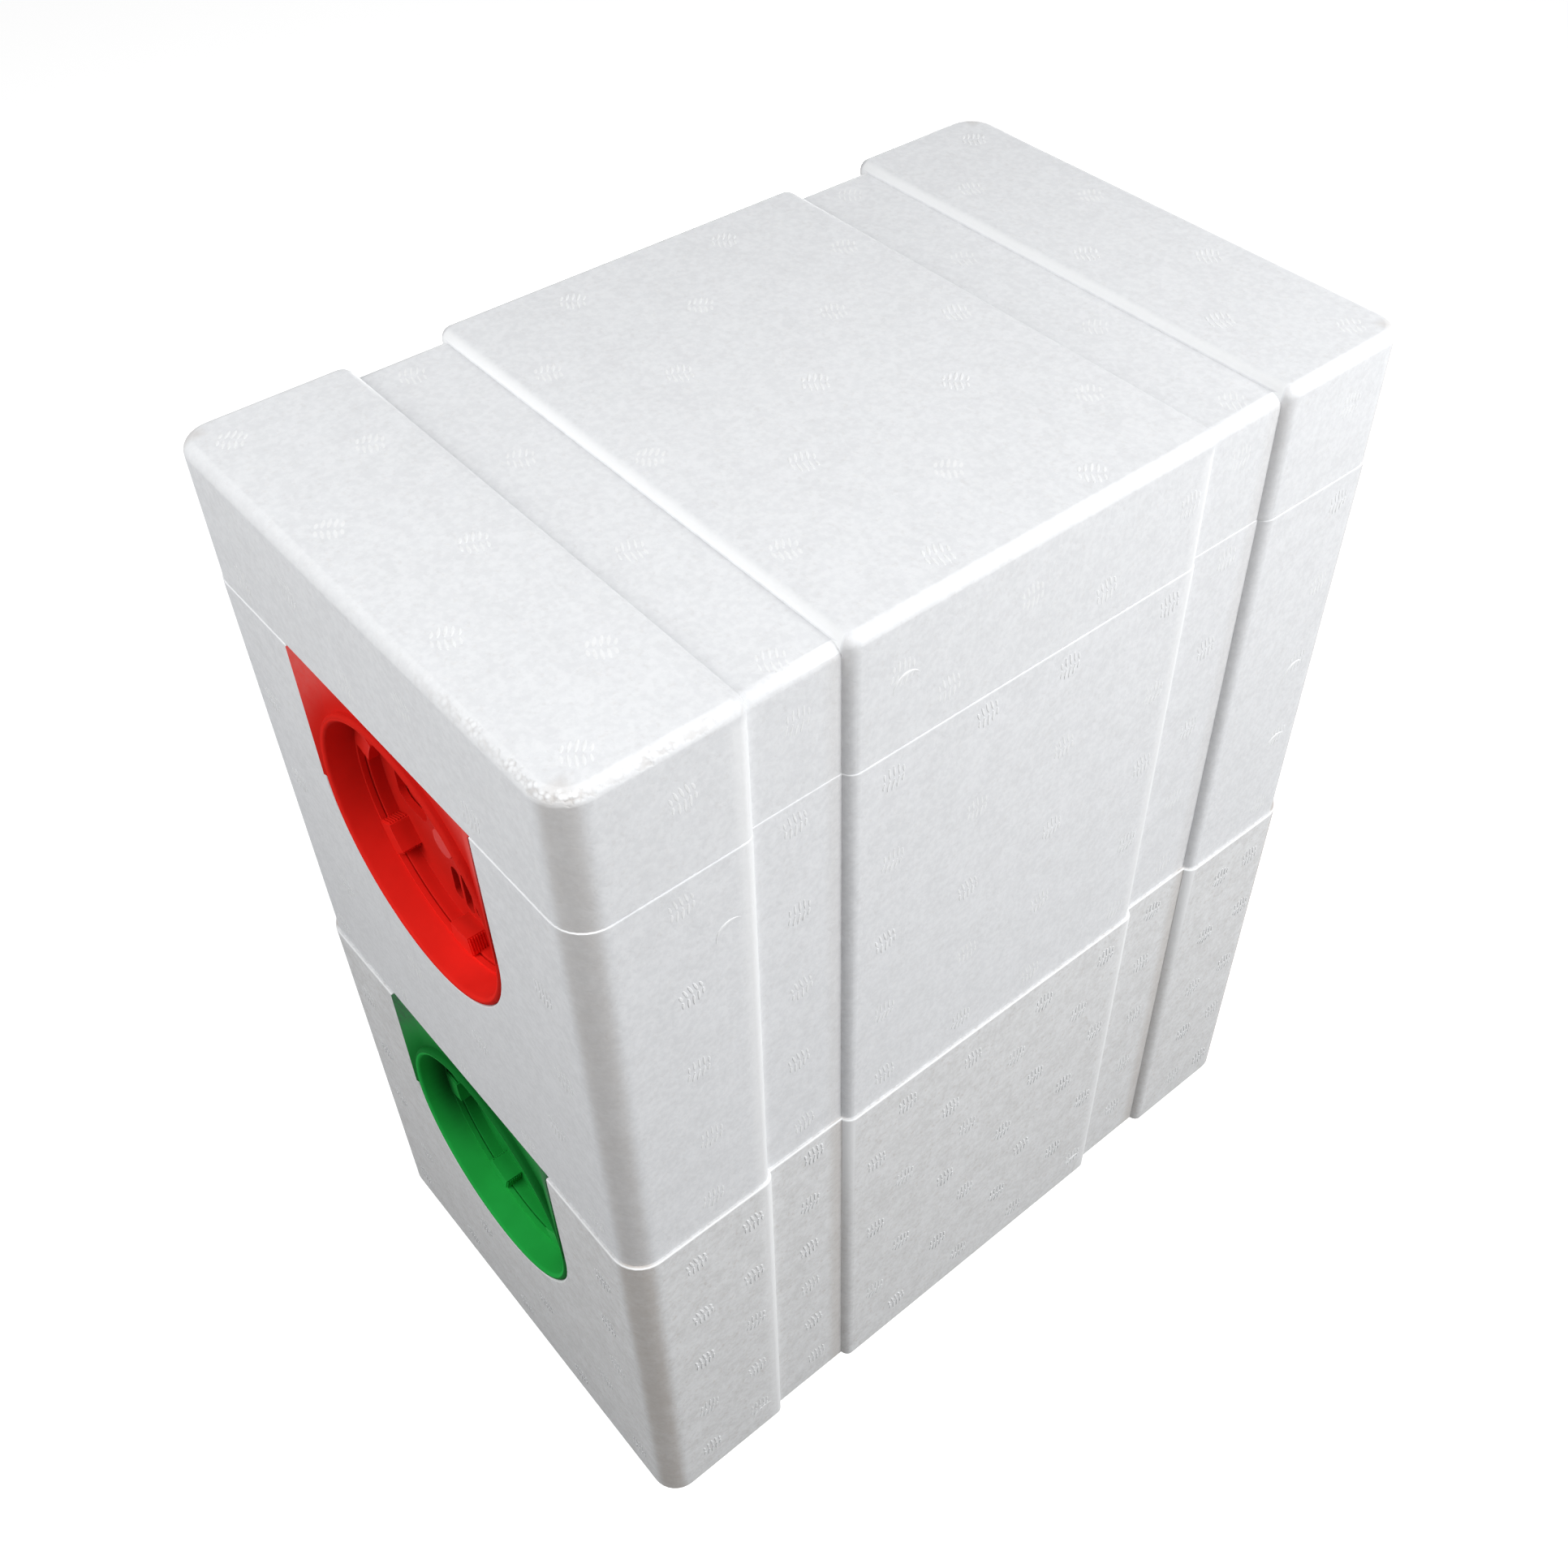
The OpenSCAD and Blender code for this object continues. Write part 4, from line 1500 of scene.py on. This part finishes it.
@dataclass
class Furnishings:
    """Feeder, float, floor grille and cover sheet of one body."""

    level: Level
    tub_round: float = 0.5 * MM
    float_round: float = 0.8 * MM
    grille_round: float = 0.3 * MM
    sheet_round: float = 0.3 * MM
    round_segments: int = 2

    def build(self, finishes: Finishes) -> None:
        """Models the pieces with rounded edges and dresses them.

        Args:
            finishes: The materials.
        """
        for piece, rounding, material, slot, body in (
            ("feeder", self.tub_round, finishes.tub, "tub_plastic", "box"),
            ("feeder_float", self.float_round, finishes.tub, "tub_plastic", "float"),
            ("floor_grille", self.grille_round, finishes.grille, "grille_plastic", "box"),
            ("cover_sheet", self.sheet_round, finishes.sheet, "clear_sheet", "box"),
        ):
            dress_node(self.level.node(piece), rounding, self.round_segments, material,
                       self.level.node(body), slot)


# Studio

@dataclass(frozen=True)
class Lamp:
    """A soft square lamp that looks at the middle of the box."""

    name: str
    place: Point
    side: float
    power: float

    def build(self, target: Vector) -> None:
        """Adds the lamp.

        Args:
            target: The point that it looks at.
        """
        data = bpy.data.lights.new(self.name, "AREA")
        data.size = self.side
        data.energy = self.power
        lamp = new_object(self.name, data)
        lamp.location = self.place
        lamp.rotation_euler = (target - Vector(self.place)).to_track_quat("-Z", "Y").to_euler()


@dataclass
class Studio:
    """Pale floor, soft lamps, plain surroundings and the camera."""

    floor_side: float = 30.0
    floor_colour: Colour = (0.90, 0.90, 0.90)
    floor_bounce: Colour = (0.14, 0.14, 0.14)
    floor_lift: float = 0.68
    white: Colour = (1.0, 1.0, 1.0)
    ambient: float = 0.24
    camera_place: Point = (0.30278, -0.25007, 0.59150)
    azimuth: float = math.radians(49.509)
    elevation: float = math.radians(45.119)
    roll: float = math.radians(-0.068)
    lens: float = 39.577
    lens_shift: Span = (-0.03491, -0.01318)
    nearest: float = 10.0 * MM
    lamps: tuple[Lamp, ...] = (
        Lamp("front_lamp", (-0.04, -0.60, 0.65), 0.5, 2.85),
        Lamp("side_lamp", (0.70, 0.35, 0.77), 0.6, 8.7),
        Lamp("rear_fill", (-0.66, 0.55, 0.22), 0.4, 4.4),
    )

    def build(self) -> None:
        """Sets up the whole studio."""
        low, high = CAD_BOX
        self.build_floor()
        self.build_world()
        for lamp in self.lamps:
            lamp.build((low + high) / 2)
        self.build_camera()
        bpy.context.scene.view_settings.view_transform = "Standard"

    def seen(self, graph: Graph) -> Socket:
        """Tells the rays of sight, mirrors and glass from those that carry light.

        Args:
            graph: The nodes to add to.

        Returns:
            A number that is 1 on the rays of sight and 0 on the others.
        """
        rays = graph.node("LightPath", {}).outputs
        mirrored = graph.sum(rays["Is Camera Ray"], "MAXIMUM", rays["Is Glossy Ray"])
        return graph.sum(mirrored, "MAXIMUM", rays["Is Transmission Ray"])

    def build_floor(self) -> None:
        """Lays the floor, white to the eye and darker in the light that it throws back."""
        bpy.ops.object.select_all(action="DESELECT")
        bpy.ops.mesh.primitive_plane_add(size=self.floor_side)
        floor = bpy.context.object
        floor.name = "floor"
        graph = Graph(bpy.data.materials.new("studio_floor"))
        seen = self.seen(graph)
        colour = graph.blend(seen, self.floor_bounce, self.floor_colour)
        diffuse = graph.node("BsdfDiffuse", {"Color": colour})
        glow = graph.node("Emission", {"Strength": graph.product(seen, self.floor_lift)})
        both = graph.node("AddShader", {0: diffuse.outputs["BSDF"], 1: glow.outputs["Emission"]})
        graph.node("OutputMaterial", {"Surface": both.outputs["Shader"]})
        floor.data.materials.append(graph.owner)

    def build_world(self) -> None:
        """Makes the surroundings white to the eye and an even dim light for the box."""
        world = bpy.data.worlds.new("studio")
        bpy.context.scene.world = world
        graph = Graph(world)
        strength = graph.node("MapRange", {"Value": self.seen(graph), "To Min": self.ambient, "To Max": 1.0})
        background = graph.node("Background", {"Color": (*self.white, 1.0),
                                               "Strength": strength.outputs["Result"]})
        graph.node("OutputWorld", {"Surface": background.outputs["Background"]})

    def build_camera(self) -> None:
        """Sets the camera at the photograph's angle."""
        data = bpy.data.cameras.new("camera")
        data.lens = self.lens
        data.shift_x, data.shift_y = self.lens_shift
        data.clip_start = self.nearest
        camera = new_object("camera", data)
        camera.location = self.camera_place
        level = Euler((math.pi / 2 - self.elevation, 0, self.azimuth)).to_matrix()
        camera.rotation_euler = (level @ Matrix.Rotation(self.roll, 3, "Z")).to_euler()
        bpy.context.scene.camera = camera


def main() -> None:
    """Builds the studio and every piece of the box in order."""
    logging.basicConfig(level=logging.INFO, format="%(name)s %(message)s")
    Studio().build()
    finishes = Finishes()
    patterns = (VentPrint().build(), Dent().build())
    chance = random.Random(SCATTER_SEED)
    for shell in (LID, UPPER, LOWER):
        shell.build(finishes)
        shell.print_marks(finishes, patterns, chance)
    for pattern in patterns:
        bpy.data.objects.remove(pattern)
    for level, turn in ((Level.UPPER, math.radians(90)), (Level.LOWER, 0.0)):
        Entrance(level, turn).build(finishes)
        Furnishings(level).build(finishes)
        for number in range(1, FRAME_COUNT + 1):
            CombFrame(level, number).build(finishes)


if __name__ == "__main__":
    main()
